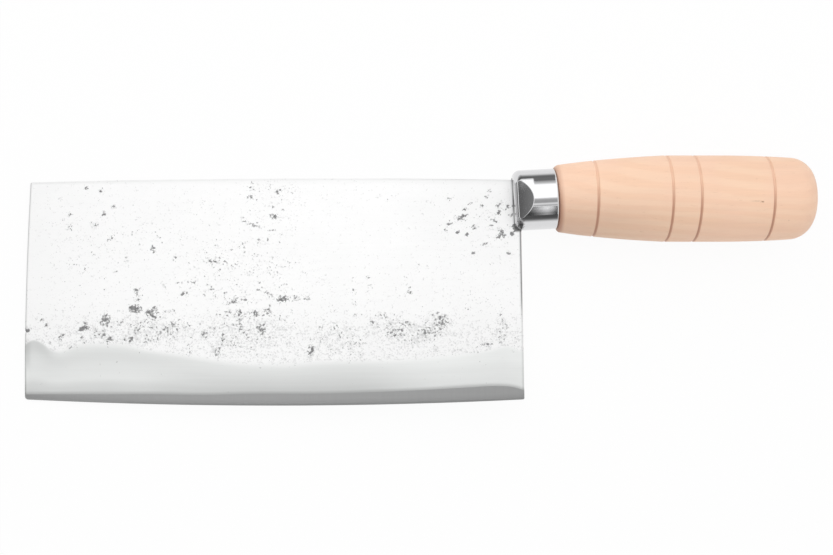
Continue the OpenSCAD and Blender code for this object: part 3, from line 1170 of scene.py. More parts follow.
# Patches of forge marks: centre, half sizes, density, and the turn in degrees where there is one
FORGE_MARKS = (
    (-238.9, -48.7, 3.2, 2.3, 0.93), (-231.5, -50.2, 3.5, 2.8, 0.95), (-238.4, -43.7, 2.0, 1.7, 0.85),
    (-238.6, -40.8, 1.9, 1.6, 0.8), (-223.9, -49.6, 4.6, 1.4, 0.6, -8), (-252.1, -53.7, 2.3, 3.2, 0.75),
    (-260.7, -56.4, 1.6, 2.4, 0.85, 12), (-271.6, -61.0, 1.3, 2.0, 0.98, -25),
    (-222.7, -55.4, 1.8, 1.8, 0.95), (-203.4, -67.0, 2.0, 3.2, 0.82, 25),
    (-200.3, -60.8, 1.2, 3.4, 0.85), (-183.8, -56.5, 2.0, 2.0, 0.7, -30),
    (-183.4, -52.6, 1.2, 1.4, 0.75), (-171.9, -44.1, 8.0, 1.9, 0.7, 4),
    (-180.5, -41.5, 3.0, 1.2, 0.6, -35), (-163.5, -43.8, 3.5, 1.2, 0.6, -10),
    (-197.6, -45.0, 4.2, 2.2, 0.6, 15), (-191.5, -44.7, 2.6, 2.6, 0.6, 40),
    (-193.0, -50.6, 1.6, 3.0, 0.72), (-186.0, -50.2, 1.6, 2.6, 0.7),
    (-180.0, -49.0, 1.2, 3.6, 0.7, -10), (-205.4, -27.3, 4.6, 1.5, 0.65, -8),
    (-191.0, -9.5, 2.4, 1.0, 0.6, -50), (-186.0, -11.9, 4.8, 0.8, 0.95, -20),
    (-177.5, -13.8, 4.2, 0.6, 0.7, 6), (-170.5, -13.6, 3.4, 0.5, 0.6),
    (-178.3, -8.0, 3.0, 1.5, 0.7, -32), (-184.4, -18.4, 0.9, 2.4, 0.75, 15),
    (-180.8, -18.9, 0.9, 2.4, 0.7, -20), (-187.8, 5.4, 1.2, 2.4, 0.72, 10),
    (-188.4, 0.9, 1.4, 1.3, 0.75), (-231.6, -22.3, 1.1, 2.8, 0.65, 25),
    (-221.7, -26.6, 0.9, 2.2, 0.6, -10), (-249.3, -16.4, 1.6, 1.8, 0.78),
    (-258.0, -11.9, 1.6, 2.4, 0.68, 25), (-161.8, -67.9, 1.6, 3.2, 0.85, -8),
    (-139.7, -69.0, 2.4, 1.6, 0.6, 15), (-142.8, -40.9, 1.4, 2.2, 0.6, 10),
    (-142.4, -46.0, 1.1, 2.2, 0.55, -8), (-142.8, -50.6, 1.1, 1.8, 0.5), (-137.0, -34.6, 1.3, 1.3, 0.8),
    (-136.0, -38.3, 1.2, 1.8, 0.6, 20), (-118.4, -40.4, 1.5, 2.6, 0.65, 20),
    (-127.6, -43.2, 1.4, 1.2, 0.55), (-106.7, -55.4, 8.5, 6.0, 0.62, 15),
    (-118.1, -59.0, 13.0, 6.0, 0.55), (-126.7, -55.0, 11.0, 5.5, 0.48),
    (-107.0, -66.5, 1.6, 1.3, 0.6, 40), (-77.6, -3.1, 3.6, 2.8, 0.55), (-79.5, -14.5, 3.0, 3.0, 0.5),
    (-95.7, -8.8, 4.5, 3.5, 0.4, 30), (-85.1, -18.9, 3.5, 2.5, 0.36),
    (-84.0, -9.5, 9.0, 6.0, 0.28, -15), (-78.0, -57.0, 3.0, 8.0, 0.55), (-84.5, -64.0, 3.6, 1.2, 0.7),
    (-238.5, -58.0, 1.4, 1.5, 0.95), (-176.2, 3.4, 2.4, 1.8, 0.6), (-267.5, -12.5, 1.2, 2.4, 0.62),
    (-243.9, -11.9, 1.8, 1.6, 0.6), (-243.2, -28.5, 1.6, 3.4, 0.58), (-208.3, -60.2, 1.6, 2.8, 0.8, 20),
    (-226.2, -39.3, 1.1, 1.8, 0.75, 15), (-219.5, -36.9, 3.0, 0.8, 0.66),
    (-213.0, -36.7, 2.2, 0.9, 0.6, 10), (-225.6, -34.8, 2.0, 0.7, 0.7, 15),
    (-203.6, -34.7, 2.4, 1.3, 0.65, 20), (-183.9, -69.0, 1.7, 0.9, 0.85, 15),
    (-188.4, -66.0, 1.3, 1.3, 0.85), (-241.0, -62.5, 0.9, 1.8, 0.85, -20),
    (-256.8, -57.8, 1.0, 1.2, 0.85, 30), (-262.4, -61.6, 0.8, 1.8, 0.85, -20),
    (-252.7, -59.2, 0.6, 2.8, 0.85, -10), (-276.7, -64.2, 0.8, 1.2, 0.95, 20),
    (-238.0, -58.0, 27.0, 7.5, 0.48), (-258.0, -20.0, 18.0, 14.0, 0.24),
    (-230.0, -14.0, 20.0, 12.0, 0.22), (-194.0, -34.0, 30.0, 20.0, 0.32),
    (-190.0, -57.0, 22.0, 11.0, 0.46), (-178.0, -2.0, 14.0, 12.0, 0.3),
    (-150.0, -62.0, 14.0, 8.0, 0.42), (-286.6, -57.9, 1.3, 1.0, 1.6),
)
# Half sizes and density of a single speck, and the places of such specks
SINGLE_SIZE = (1.2, 1.0, 0.98)
SINGLE_MARKS = (
    (-260.7, 4.4), (-254.1, 3.3), (-272.2, -0.4), (-248.6, -3.5), (-253.0, -6.6), (-270.6, -9.0),
    (-268.0, -7.2), (-255.9, -11.6), (-91.6, -2.0), (-86.5, -3.4), (-84.8, 0.6), (-83.2, 3.1),
    (-94.6, -7.9), (-96.3, -8.5), (-94.0, -4.8), (-100.8, -0.1), (-100.7, -10.8), (-102.3, -13.8),
    (-89.5, -12.7), (-97.1, -14.9), (-93.3, -15.7), (-75.2, -3.7), (-74.1, -7.3), (-80.9, -9.9),
    (-82.4, -12.1), (-79.3, -16.7), (-72.0, -13.2), (-85.2, -20.1), (-90.1, -23.8), (-74.6, -23.8),
    (-73.9, -7.3), (-72.5, -3.3), (-78.0, -14.7), (-76.9, -16.1), (-72.3, -11.9), (-71.6, -13.7),
    (-79.4, -2.9), (-79.2, -6.6), (-73.2, -15.5), (-205.5, -39.7), (-247.9, -31.9), (-217.6, -41.8),
    (-267.9, -66.1), (-278.1, -55.5), (-280.0, -53.6), (-250.0, -61.5), (-261.0, -63.0), (-262.8, -57.7),
)


@dataclass
class Blade:
    """The laminated blade: a hard core between two claddings, ground to an edge."""

    ferrule: Ferrule
    edge_length: float = 220.0
    height: float = 100.0
    half_thickness: float = 1.1
    half_core: float = 0.4
    spine_rise: float = 8.8
    belly_radius: float = 2200.0
    crown_radius: float = 5000.0
    crown_shift: float = 24.0
    bow_radius: float = 1600.0
    front_lean: float = 1.6
    heel_lean: float = 1.1
    heel_x: float = -69.6
    front_corner: float = 1.3
    spine_corner: float = 0.7
    heel_corner: float = 0.6
    spine_slope: float = 1.5
    edge_bevel: float = 0.8
    edge_angle: float = 12.0
    neck_half: float = 6.0
    neck_end: float = -60.0
    easing: float = 0.12
    root_relief: float = 0.1
    nick_place: float = -58.6
    nick_depth: float = 0.35
    nick_half: float = 0.45
    mark_seed: int = 7
    scattered: float = 0.16
    even_start: float = -61.0
    above_bevel: float = 0.6
    unseen_patches: int = 46
    unseen_clouds: int = 6
    # Top of the bevel and top of the dark core strip, as they wander along the blade
    bevel_top: tuple = (
        (-287.7, -64.2), (-286.4, -63.2), (-283.8, -62.1), (-279.8, -63.6), (-276.8, -65.8),
        (-273.0, -67.0), (-264.8, -65.6), (-231.8, -66.5), (-212.4, -69.0), (-196.5, -71.2),
        (-175.4, -72.0), (-152.9, -70.7), (-129.2, -70.5), (-105.4, -69.0), (-90.0, -67.4),
        (-82.0, -66.2), (-74.6, -64.8), (-70.5, -66.4), (-67.5, -67.2),
    )
    bevel_round: tuple = (
        (-287.7, 1.0), (-280.0, 1.2), (-272.0, 2.4), (-231.0, 3.0), (-196.0, 4.5),
        (-150.0, 5.0), (-105.0, 4.0), (-85.0, 2.4), (-74.0, 1.4), (-67.5, 1.4),
    )
    core_top: tuple = (
        (-287.7, -86.2), (-264.8, -86.15), (-252.0, -86.2), (-232.0, -86.1), (-210.7, -86.4),
        (-184.2, -85.9), (-162.0, -85.9), (-141.0, -85.4), (-122.0, -84.7), (-109.3, -84.1),
        (-92.0, -83.1), (-78.5, -82.5), (-74.1, -82.8), (-68.8, -84.1), (-67.5, -84.6),
    )

    def __post_init__(self) -> None:
        """Works out the places that follow from the sizes."""
        self.lowest = self.spine_rise - self.height
        self.end_y = self.lowest + (self.edge_length / 2) ** 2 / (2 * self.belly_radius)
        self.end_height = self.spine_rise - self.end_y
        self.heel_edge = self.heel_x + self.end_height * math.tan(math.radians(self.heel_lean))
        self.front_edge = self.heel_edge - self.edge_length
        self.middle = self.heel_edge - self.edge_length / 2
        self.crest = self.middle + self.crown_shift
        self.front_top = self.front_edge + self.end_height * math.tan(math.radians(self.front_lean))

    def edge_y(self, x: Array) -> Array:
        """Height of the sharp edge along X."""
        reach = np.sqrt(self.belly_radius**2 - (x - self.middle) ** 2)
        return self.lowest + self.belly_radius - reach

    def spine_y(self, x: Array) -> Array:
        """Height of the spine along X."""
        reach = np.sqrt(self.crown_radius**2 - (x - self.crest) ** 2)
        return self.spine_rise - self.crown_radius + reach

    def ends(self, y: Array) -> tuple[Array, Array]:
        """Where the blade's front and heel stand at a height.

        Args:
            y: Heights.

        Returns:
            Places of the front and of the heel along X.
        """
        rise = y - self.end_y
        share = rise / self.end_height
        bow = self.end_height**2 / (8 * self.bow_radius) * 4 * share * (1 - share)
        nick = self.nick_depth * np.exp(-(((y - self.nick_place) / self.nick_half) ** 2))
        front = self.front_edge + rise * math.tan(math.radians(self.front_lean)) - bow + nick
        return front, self.heel_edge - rise * math.tan(math.radians(self.heel_lean))

    def columns(self) -> Array:
        """Places the grid's columns.

        Returns:
            Shares of the blade's length.
        """
        # In millimetres: close at both ends for the eased edge, and near the ferrule
        fine = np.array([0, 0.12, 0.3, 0.6, 0.95, 1.4, 2.0])
        middle = np.arange(3.0, 211.5, 1.0)
        near = np.arange(212.0, 217.8, 0.45)
        places = np.concatenate([fine, middle, near, self.edge_length - fine[::-1]])
        return places / self.edge_length

    def place_row(self, curve: object, shares: Array) -> Array:
        """Places one row of the grid on a curve that runs along the blade.

        Args:
            curve: Function from places along X to heights.
            shares: Shares of the blade's length.

        Returns:
            The row's points in the plane.
        """
        x = self.front_edge + shares * self.edge_length
        for _ in range(4):
            y = curve(x)
            front, heel = self.ends(y)
            x = front + shares * (heel - front)
        return np.stack([x, y], axis=1)

    def seam_row(self, x: Array) -> Array:
        """The grid row just above the bevel, which core and claddings share."""
        return through(x, self.bevel_top) + self.above_bevel

    def face_height(self, x: Array, y: Array) -> Array:
        """Half thickness of the ground blade at places above the core strip.

        Args:
            x: Places along X.
            y: Places along Y.

        Returns:
            Half thicknesses, before the edges are eased.
        """
        core, top = through(x, self.core_top), through(x, self.bevel_top)
        curve = through(x, self.bevel_round)
        knee = top - curve
        slope = (self.half_thickness - self.half_core) / (knee - core)
        line = self.half_core + slope * (y - core)
        rounded = self.half_thickness - slope * (curve - (y - knee)) ** 2 / (4 * curve)
        near = np.abs(y - knee) < curve
        return np.where(near, rounded, np.minimum(line, self.half_thickness))

    def upper_rows(self) -> list:
        """Sets out the grid's rows above the bevel.

        Returns:
            A curve for each row, from below.
        """
        rows = [lambda x, s=s: (1 - s) * self.seam_row(x) + s * self.even_start for s in (0.35, 0.7)]
        nick = [self.nick_place + rise for rise in (-0.5, 0.0, 0.5)]
        levels = [*np.arange(self.even_start, -59.5), *nick, *np.arange(-57.0, 6.5)]
        rows += [lambda x, level=level: np.full_like(x, level) for level in levels]
        rows += [
            lambda x, s=s: np.maximum(self.spine_y(x) - s, 6.05 + 0.01 * (1.2 - s))
            for s in (0.95, 0.6, 0.3, 0.12, 0.0)
        ]
        return rows

    def plan(self, lower_rows: list) -> tuple[Array, Array]:
        """Grid of the blade's face with the neck behind it.

        Args:
            lower_rows: Curves of the rows up to the top of the bevel.

        Returns:
            The grid's points in the plane, and which of its cells are metal.
        """
        shares = self.columns()
        rows = [self.place_row(curve, shares) for curve in lower_rows + self.upper_rows()]
        face = np.stack(rows)
        neck_steps = np.linspace(0, 1, 9)[1:]
        last = face[:, -1:, :]
        neck_x = last[..., 0] + (self.neck_end - last[..., 0]) * neck_steps[None, :]
        neck = np.stack([neck_x, np.repeat(last[..., 1], len(neck_steps), axis=1)], axis=-1)
        points = np.concatenate([face, neck], axis=1)
        middle_y = (points[:-1, -1, 1] + points[1:, -1, 1]) / 2
        metal = np.ones((points.shape[0] - 1, points.shape[1] - 1), bool)
        metal[:, len(shares) - 1 :] = (np.abs(middle_y) < self.neck_half)[:, None]
        up, heel_up = direction(90 - self.front_lean), direction(90 + self.heel_lean)
        spine = self.spine_y(np.array(self.front_top))
        slope = math.degrees(math.asin(self.edge_length / 2 / self.belly_radius))
        corners = (
            ((self.front_edge, self.end_y), up, direction(-slope), self.front_corner),
            ((self.heel_edge, self.end_y), heel_up, direction(180 + slope), self.heel_corner),
            ((self.front_top, float(spine)), -up, direction(self.spine_slope), self.spine_corner),
        )
        for corner, side_a, side_b, radius in corners:
            points = round_corner(points, np.array(corner), side_a, side_b, radius)
        return points, metal

    def easing_at(self, points: Array, from_row: int) -> Array:
        """How far the face is lowered at the blade's eased outline.

        Args:
            points: The grid's points in the plane.
            from_row: First row whose ends are eased.

        Returns:
            The drop at each grid point.
        """
        drop = np.zeros(points.shape[:2])
        drop[-1, :] = self.easing
        drop[from_row:, 0] = self.easing
        heel = len(self.columns()) - 1
        outside = np.abs(points[:, heel, 1]) > self.neck_half
        outside[:from_row] = False
        drop[outside, heel] = self.easing
        return drop

    def relief_at(self, points: Array) -> Array:
        """How far the face is relieved where it goes into the ferrule.

        Args:
            points: Points in the plane.

        Returns:
            The relief at each point.
        """
        x, y = self.ferrule.to_own(points[..., 0], points[..., 1])
        ahead, below = -self.ferrule.length, -self.ferrule.radius
        inside = smooth_step(ahead - 0.4, ahead - 0.05, x)
        inside *= smooth_step(below - 0.4, below - 0.05, y)
        return self.root_relief * inside

    def rim_shade_at(self, x: Array, y: Array) -> Array:
        """How much painted shade darkens the face in the thin lines at its front, its heel, under the spine
        and at the ferrule's foot.

        Args:
            x: Places along X.
            y: Places along Y.

        Returns:
            The share of the tone that is taken away at each place.
        """
        front, heel = self.ends(y)
        outside = np.abs(y) > self.neck_half - 0.05
        upper = 0.2 + 0.5 * smooth_step(-56.0, -42.0, y) * smooth_step(-6.0, -12.0, y)
        ahead = heel - x
        lines = np.maximum(
            0.35 * smooth_step(0.75, 0.3, x - front),
            upper * smooth_step(1.05, 0.7, ahead) * smooth_step(0.05, 0.3, ahead) * outside,
        )
        # A broader shade behind the bevel's front edge, then the thin line under the spine
        shade = 0.14 * smooth_step(3.6, 0.8, x - front) * smooth_step(-60.0, -63.0, y)
        lines = np.maximum(lines, shade * smooth_step(-77.0, -71.0, y))
        lines = np.maximum(lines, 0.09 * smooth_step(1.3, 0.6, self.spine_y(x) - y))
        shadow = self.relief_at(np.stack([x, y], axis=-1)) / self.root_relief
        return np.maximum(lines, 0.85 * shadow)

    def ripple(self, x: Array, y: Array, side: Side) -> Array:
        """Slight unevenness that hand grinding leaves.

        Args:
            x: Places along X.
            y: Places along Y.
            side: The face.

        Returns:
            What it adds to the half thickness.
        """
        turn = 1.7 * side.value
        broad = np.sin(x / 17.0 + y / 41.0 + turn) * np.sin(y / 13.0 - x / 53.0)
        narrow = np.sin(x / 6.1 - y / 19.0 - turn) * np.sin(y / 7.3 + x / 29.0)
        return -0.006 * (1 + broad) - 0.0015 * (1 + narrow)

    def close(self, name: str, plan: Array, metal: Array, upper: Array, lower: Array) -> Mesh:
        """Closes two sheets over the plan into a solid.

        Args:
            name: Name of the mesh.
            plan: The grid's points in the plane.
            metal: Which of its cells are metal.
            upper: Height of the first sheet at each grid point.
            lower: Height of the second sheet at each grid point.

        Returns:
            The mesh.
        """
        top, bottom = (np.concatenate([plan, z[..., None]], axis=-1).reshape(-1, 3) for z in (upper, lower))
        faces = grid_faces(*plan.shape[:2])[metal.ravel()]
        return make_mesh(name, *close_plate(top, bottom, faces))

    def build_cladding(self, side: Side, finish: Material) -> Object:
        """Builds one cladding, from the core strip up to the spine.

        Args:
            side: The face that the cladding covers.
            finish: Its material.

        Returns:
            The cladding.
        """
        steps = np.concatenate([np.linspace(0, 0.72, 15), np.linspace(0.76, 1.0, 12)])
        lower = [lambda x, s=s: (1 - s) * through(x, self.core_top) + s * self.seam_row(x) for s in steps]
        points, metal = self.plan(lower)
        x, y = points[..., 0], points[..., 1]
        fade = smooth_step(0.0, 4.0, np.clip(y - through(x, self.core_top), 0, None))
        z = self.face_height(x, y) + fade * self.ripple(x, y, side)
        z -= self.relief_at(points)
        z -= np.minimum(self.easing_at(points, 1), np.clip(z - self.half_core, 0, None) * 0.8)
        z[0, :] = self.half_core
        low = np.full_like(z, self.half_core)
        name = f"cladding_ground_{side.name.lower()}"
        mesh = self.close(name, points, metal, side.value * z, side.value * low)
        flat = mesh_points(mesh) / MM
        px, py = flat[:, 0], flat[:, 1]
        core, top = through(px, self.core_top), through(px, self.bevel_top)
        curve = through(px, self.bevel_round)
        lift = 1.1 * smooth_step(-276.0, -262.0, px) * smooth_step(-232.0, -246.0, px)
        flat_end, bevel_start = top + 0.3 * curve + 1.8 * lift, top - 0.8 * curve + lift
        store_values(mesh, "grind", smooth_step(flat_end, bevel_start, py))
        store_values(mesh, "rise", np.clip((py - core) / (top - core), 0, 1))
        store_values(mesh, "seam", np.clip(py - core, 0, 50))
        store_values(mesh, "marks", self.mark_density(px, py, side))
        store_values(mesh, "rim", self.rim_shade_at(px, py))
        shade(mesh, sharp_above=22)
        made = link_object(name, mesh)
        carry(made, finish, f"cladding_{side.name.lower()}")
        return made

    def build_core(self, finish: Material) -> Object:
        """Builds the core, whose ground strip shows along the edge.

        Args:
            finish: Its material.

        Returns:
            The core.
        """
        heights = [0, 0.1, 0.25, 0.5, self.edge_bevel]
        lower = [lambda x, h=h: self.edge_y(x) + h for h in heights]
        lower += [
            lambda x, s=s: (1 - s) * (self.edge_y(x) + self.edge_bevel) + s * through(x, self.core_top)
            for s in np.linspace(0, 1, 13)[1:]
        ]
        on_core = len(lower) - 1
        lower += [self.seam_row]
        points, metal = self.plan(lower)
        x, y = points[..., 0], points[..., 1]
        foot, core = self.edge_y(x), through(x, self.core_top)
        fine = self.edge_bevel * math.tan(math.radians(self.edge_angle))
        share = np.clip((y - foot - self.edge_bevel) / (core - foot - self.edge_bevel), 0, 1)
        z = np.where(
            y - foot < self.edge_bevel,
            np.clip(y - foot, 0, None) / self.edge_bevel * fine,
            fine + share * (self.half_core - fine),
        )
        z[0, :] = 0
        z[on_core:, :] = self.half_core
        mesh = self.close("core_ground", points, metal, z, -z)
        flat = mesh_points(mesh) / MM
        store_values(mesh, "height", np.clip(flat[:, 1] - self.edge_y(flat[:, 0]), 0, 50))
        shade(mesh, sharp_above=8)
        made = link_object("core_ground", mesh)
        carry(made, finish, "blade_core")
        return made

    def mark_density(self, x: Array, y: Array, side: Side) -> Array:
        """Density of the forge marks on a face.

        Args:
            x: Places along X.
            y: Places along Y.
            side: The face.

        Returns:
            The density at each place.
        """
        marks = self.seen_marks() if side is Side.RIGHT else self.unseen_marks()
        density = np.full_like(x, self.scattered)
        # The photographed face is nearly bare between its middle and the heel
        bare = smooth_step(1.1, 0.8, np.hypot((x + 138) / 32, (y + 17) / 17))
        if side is Side.RIGHT:
            density = density * (1 - bare)
        density *= smooth_step(-286.0, -272.0, x) * smooth_step(6.0, -6.0, y)
        for patch in marks:
            density = np.maximum(density, patch.over(x, y))
        top = through(x, self.bevel_top)
        return density * smooth_step(top - 5.0, top - 0.5, y)

    def seen_marks(self) -> tuple:
        """Patches and single specks of the face that the photograph shows."""
        singles = (Cluster(*place, *SINGLE_SIZE) for place in SINGLE_MARKS)
        return (*(Cluster(*row) for row in FORGE_MARKS), *singles)

    def unseen_marks(self) -> list:
        """Draws the marks of the face that the photograph doesn't show.

        Returns:
            The patches.
        """
        draw = np.random.default_rng(self.mark_seed)
        patches = []
        for _ in range(self.unseen_patches):
            x, y = draw.uniform(-282, -76), draw.triangular(-70, -58, 4)
            size = draw.uniform(1.2, 4.2)
            turn, density = draw.uniform(-60, 60), draw.uniform(0.45, 0.85)
            patches.append(Cluster(x, y, size, size * draw.uniform(0.4, 1.0), density, turn))
        for _ in range(self.unseen_clouds):
            x, y = draw.uniform(-270, -100), draw.uniform(-62, -10)
            patches.append(Cluster(x, y, draw.uniform(12, 26), draw.uniform(6, 14), 0.3))
        return patches


# Handle, washer and tang


class TurnedTree:
    """Geometry nodes that turn an outline round the X axis, with ring grooves and a drooping front.

    The outline comes in as a mesh of points, X for the place and Y for the radius. Lengths are metres.
    """

    groove_names = ("Groove A", "Groove B", "Groove C", "Groove D")

    def __init__(self) -> None:
        """Builds the tree once."""
        inputs = {
            "Outline": (GEOMETRY, None),
            "Segments": (INTEGER, 192),
            "Groove Radius": (FLOAT, 0.7 * MM),
            "Groove Depth": (FLOAT, 0.0),
            **{name: (FLOAT, 0.0) for name in self.groove_names},
            "Shoulder": (FLOAT, -1.0),
            "Droop": (FLOAT, 0.0),
            "Droop Reach": (FLOAT, 12 * MM),
            "Core Radius": (FLOAT, 0.0),
            "Slant Radius": (FLOAT, 13.5 * MM),
            "Wobble": (FLOAT, 0.0),
            "Seed": (FLOAT, 5.0),
            "Finish": (MATERIAL, None),
        }
        graph, self.given = new_group("turned_piece", "GeometryNodeTree", inputs, {"Piece": GEOMETRY})
        self.graph = graph
        self.tree = graph.tree
        place, radius, turn = self.outline_point()
        cut = self.groove_cut(place, radius)
        radius = graph.minus(radius, cut)
        radius = graph.minus(radius, self.wobble(place, turn))
        y = graph.times(radius, graph.math("COSINE", turn))
        z = graph.times(radius, graph.math("SINE", turn))
        x, y = self.droop(place, y, radius)
        position = graph.add("ShaderNodeCombineXYZ", {"X": x, "Y": y, "Z": z}).outputs[0]
        moved = graph.add(
            "GeometryNodeSetPosition", {"Geometry": self.grid.outputs["Mesh"], "Position": position}
        )
        depth = graph.math("MAXIMUM", self.given["Groove Depth"], 1e-6)
        kept = graph.add(
            "GeometryNodeStoreNamedAttribute",
            {"Geometry": moved.outputs[0], "Name": "groove", "Value": graph.math("DIVIDE", cut, depth)},
            data_type="FLOAT",
            domain="POINT",
        )
        joined = graph.add("GeometryNodeMergeByDistance", {"Geometry": kept.outputs[0], "Distance": TOUCHING})
        plain = graph.add("GeometryNodeRealizeInstances", {"Geometry": joined.outputs[0]})
        finished = graph.add(
            "GeometryNodeSetMaterial",
            {"Geometry": plain.outputs[0], "Material": self.given["Finish"]},
        )
        graph.add("NodeGroupOutput", {"Piece": finished.outputs[0]})

    def outline_point(self) -> tuple:
        """Lays a grid with a row for each outline point and a column for each turn.

        Returns:
            The sockets of each grid point's place, radius and angle.
        """
        graph, given = self.graph, self.given
        outline = given["Outline"]
        size = graph.add("GeometryNodeAttributeDomainSize", {"Geometry": outline}, component="MESH")
        columns = graph.plus(given["Segments"], 1.0)
        counts = {"Vertices X": size.outputs["Point Count"], "Vertices Y": columns}
        self.grid = graph.add("GeometryNodeMeshGrid", counts)
        index = graph.add("GeometryNodeInputIndex").outputs[0]
        ring = graph.math("DIVIDE", graph.plus(index, 0.5), columns)
        ring = graph.math("FLOOR", ring)
        column = graph.minus(index, graph.times(ring, columns))
        position = graph.add("GeometryNodeInputPosition").outputs[0]
        sample = graph.add(
            "GeometryNodeSampleIndex",
            {"Geometry": outline, "Value": position, "Index": ring},
            data_type="FLOAT_VECTOR",
            domain="POINT",
        )
        parts = graph.add("ShaderNodeSeparateXYZ", {0: sample.outputs[0]})
        share = graph.math("DIVIDE", column, given["Segments"])
        turn = graph.times(share, 2 * math.pi)
        return parts.outputs["X"], parts.outputs["Y"], turn

    def groove_cut(self, place: NodeSocket, radius: NodeSocket) -> NodeSocket:
        """Depth that the ring grooves take away.

        Args:
            place: Place along the axis.
            radius: Radius of the outline there.

        Returns:
            The depth's socket.
        """
        graph, given = self.graph, self.given
        size, depth = given["Groove Radius"], given["Groove Depth"]
        square = graph.times(size, size)
        rest = graph.minus(size, depth)
        total = 0.0
        for name in self.groove_names:
            away = graph.minus(place, given[name])
            inside = graph.math("MAXIMUM", graph.minus(square, graph.times(away, away)), 0.0)
            reach = graph.minus(graph.math("SQRT", inside), rest)
            total = graph.plus(total, graph.math("MAXIMUM", reach, 0.0))
        outside = graph.math("GREATER_THAN", radius, graph.plus(given["Core Radius"], size))
        return graph.times(total, outside)

    def wobble(self, place: NodeSocket, turn: NodeSocket) -> NodeSocket:
        """Slight unevenness that hand sanding leaves.

        Args:
            place: Place along the axis.
            turn: Angle round the axis.

        Returns:
            The depth's socket.
        """
        graph, given = self.graph, self.given
        spot = graph.add(
            "ShaderNodeCombineXYZ",
            {
                "X": graph.linear(place, 60.0, given["Seed"]),
                "Y": graph.math("COSINE", turn),
                "Z": graph.math("SINE", turn),
            },
        )
        noise = graph.noise(spot.outputs[0], 1.0, 1.0)
        return graph.times(noise, given["Wobble"])

    def droop(self, place: object, y: object, radius: object) -> tuple:
        """Slants the front shoulder and lowers what lies in front of it.

        Args:
            place: Place along the axis.
            y: Place across, in the plane of the droop.
            radius: Radius there, since what lies inside the core radius stays.

        Returns:
            The sockets of the slanted place and the lowered Y.
        """
        graph, given = self.graph, self.given
        outer = graph.math("GREATER_THAN", radius, given["Core Radius"])
        slope = graph.times(given["Droop"], outer)
        end = graph.plus(given["Shoulder"], given["Droop Reach"])
        near = graph.ease(place, end, given["Shoulder"])
        ahead = graph.math("MINIMUM", graph.minus(place, given["Shoulder"]), 0.0)
        rim = given["Slant Radius"]
        outside = graph.ease(radius, rim, graph.plus(rim, 1.3 * MM))
        square = graph.times(graph.ease(y, 3 * MM, 13 * MM), outside)
        near = graph.times(near, graph.minus(1.0, square))
        slant = graph.times(graph.times(y, slope), near)
        return (graph.minus(place, slant), graph.plus(y, graph.times(ahead, slope)))

    def turn(self, name: str, outline: Sequence, finish: Material, **values: float) -> Object:
        """Turns one piece.

        Args:
            name: Name of the piece.
            outline: Points of place and radius in millimetres; a ring ends where it starts.
            finish: Its material.
            values: Other inputs of the tree, with underscores for spaces.

        Returns:
            The piece as a plain mesh.
        """
        mesh = bpy.data.meshes.new(name)
        mesh.from_pydata([(x * MM, r * MM, 0) for x, r in outline], [], [])
        made = link_object(name, mesh)
        modifier = made.modifiers.new("turned", "NODES")
        modifier.node_group = self.tree
        wanted = {key.replace("_", " "): value for key, value in values.items()}
        wanted["Finish"] = finish
        for item in self.tree.interface.items_tree:
            if item.in_out == "INPUT" and item.name in wanted:
                modifier[item.identifier] = wanted[item.name]
        apply_modifiers(made)
        shade(made.data, sharp_above=30)
        return made


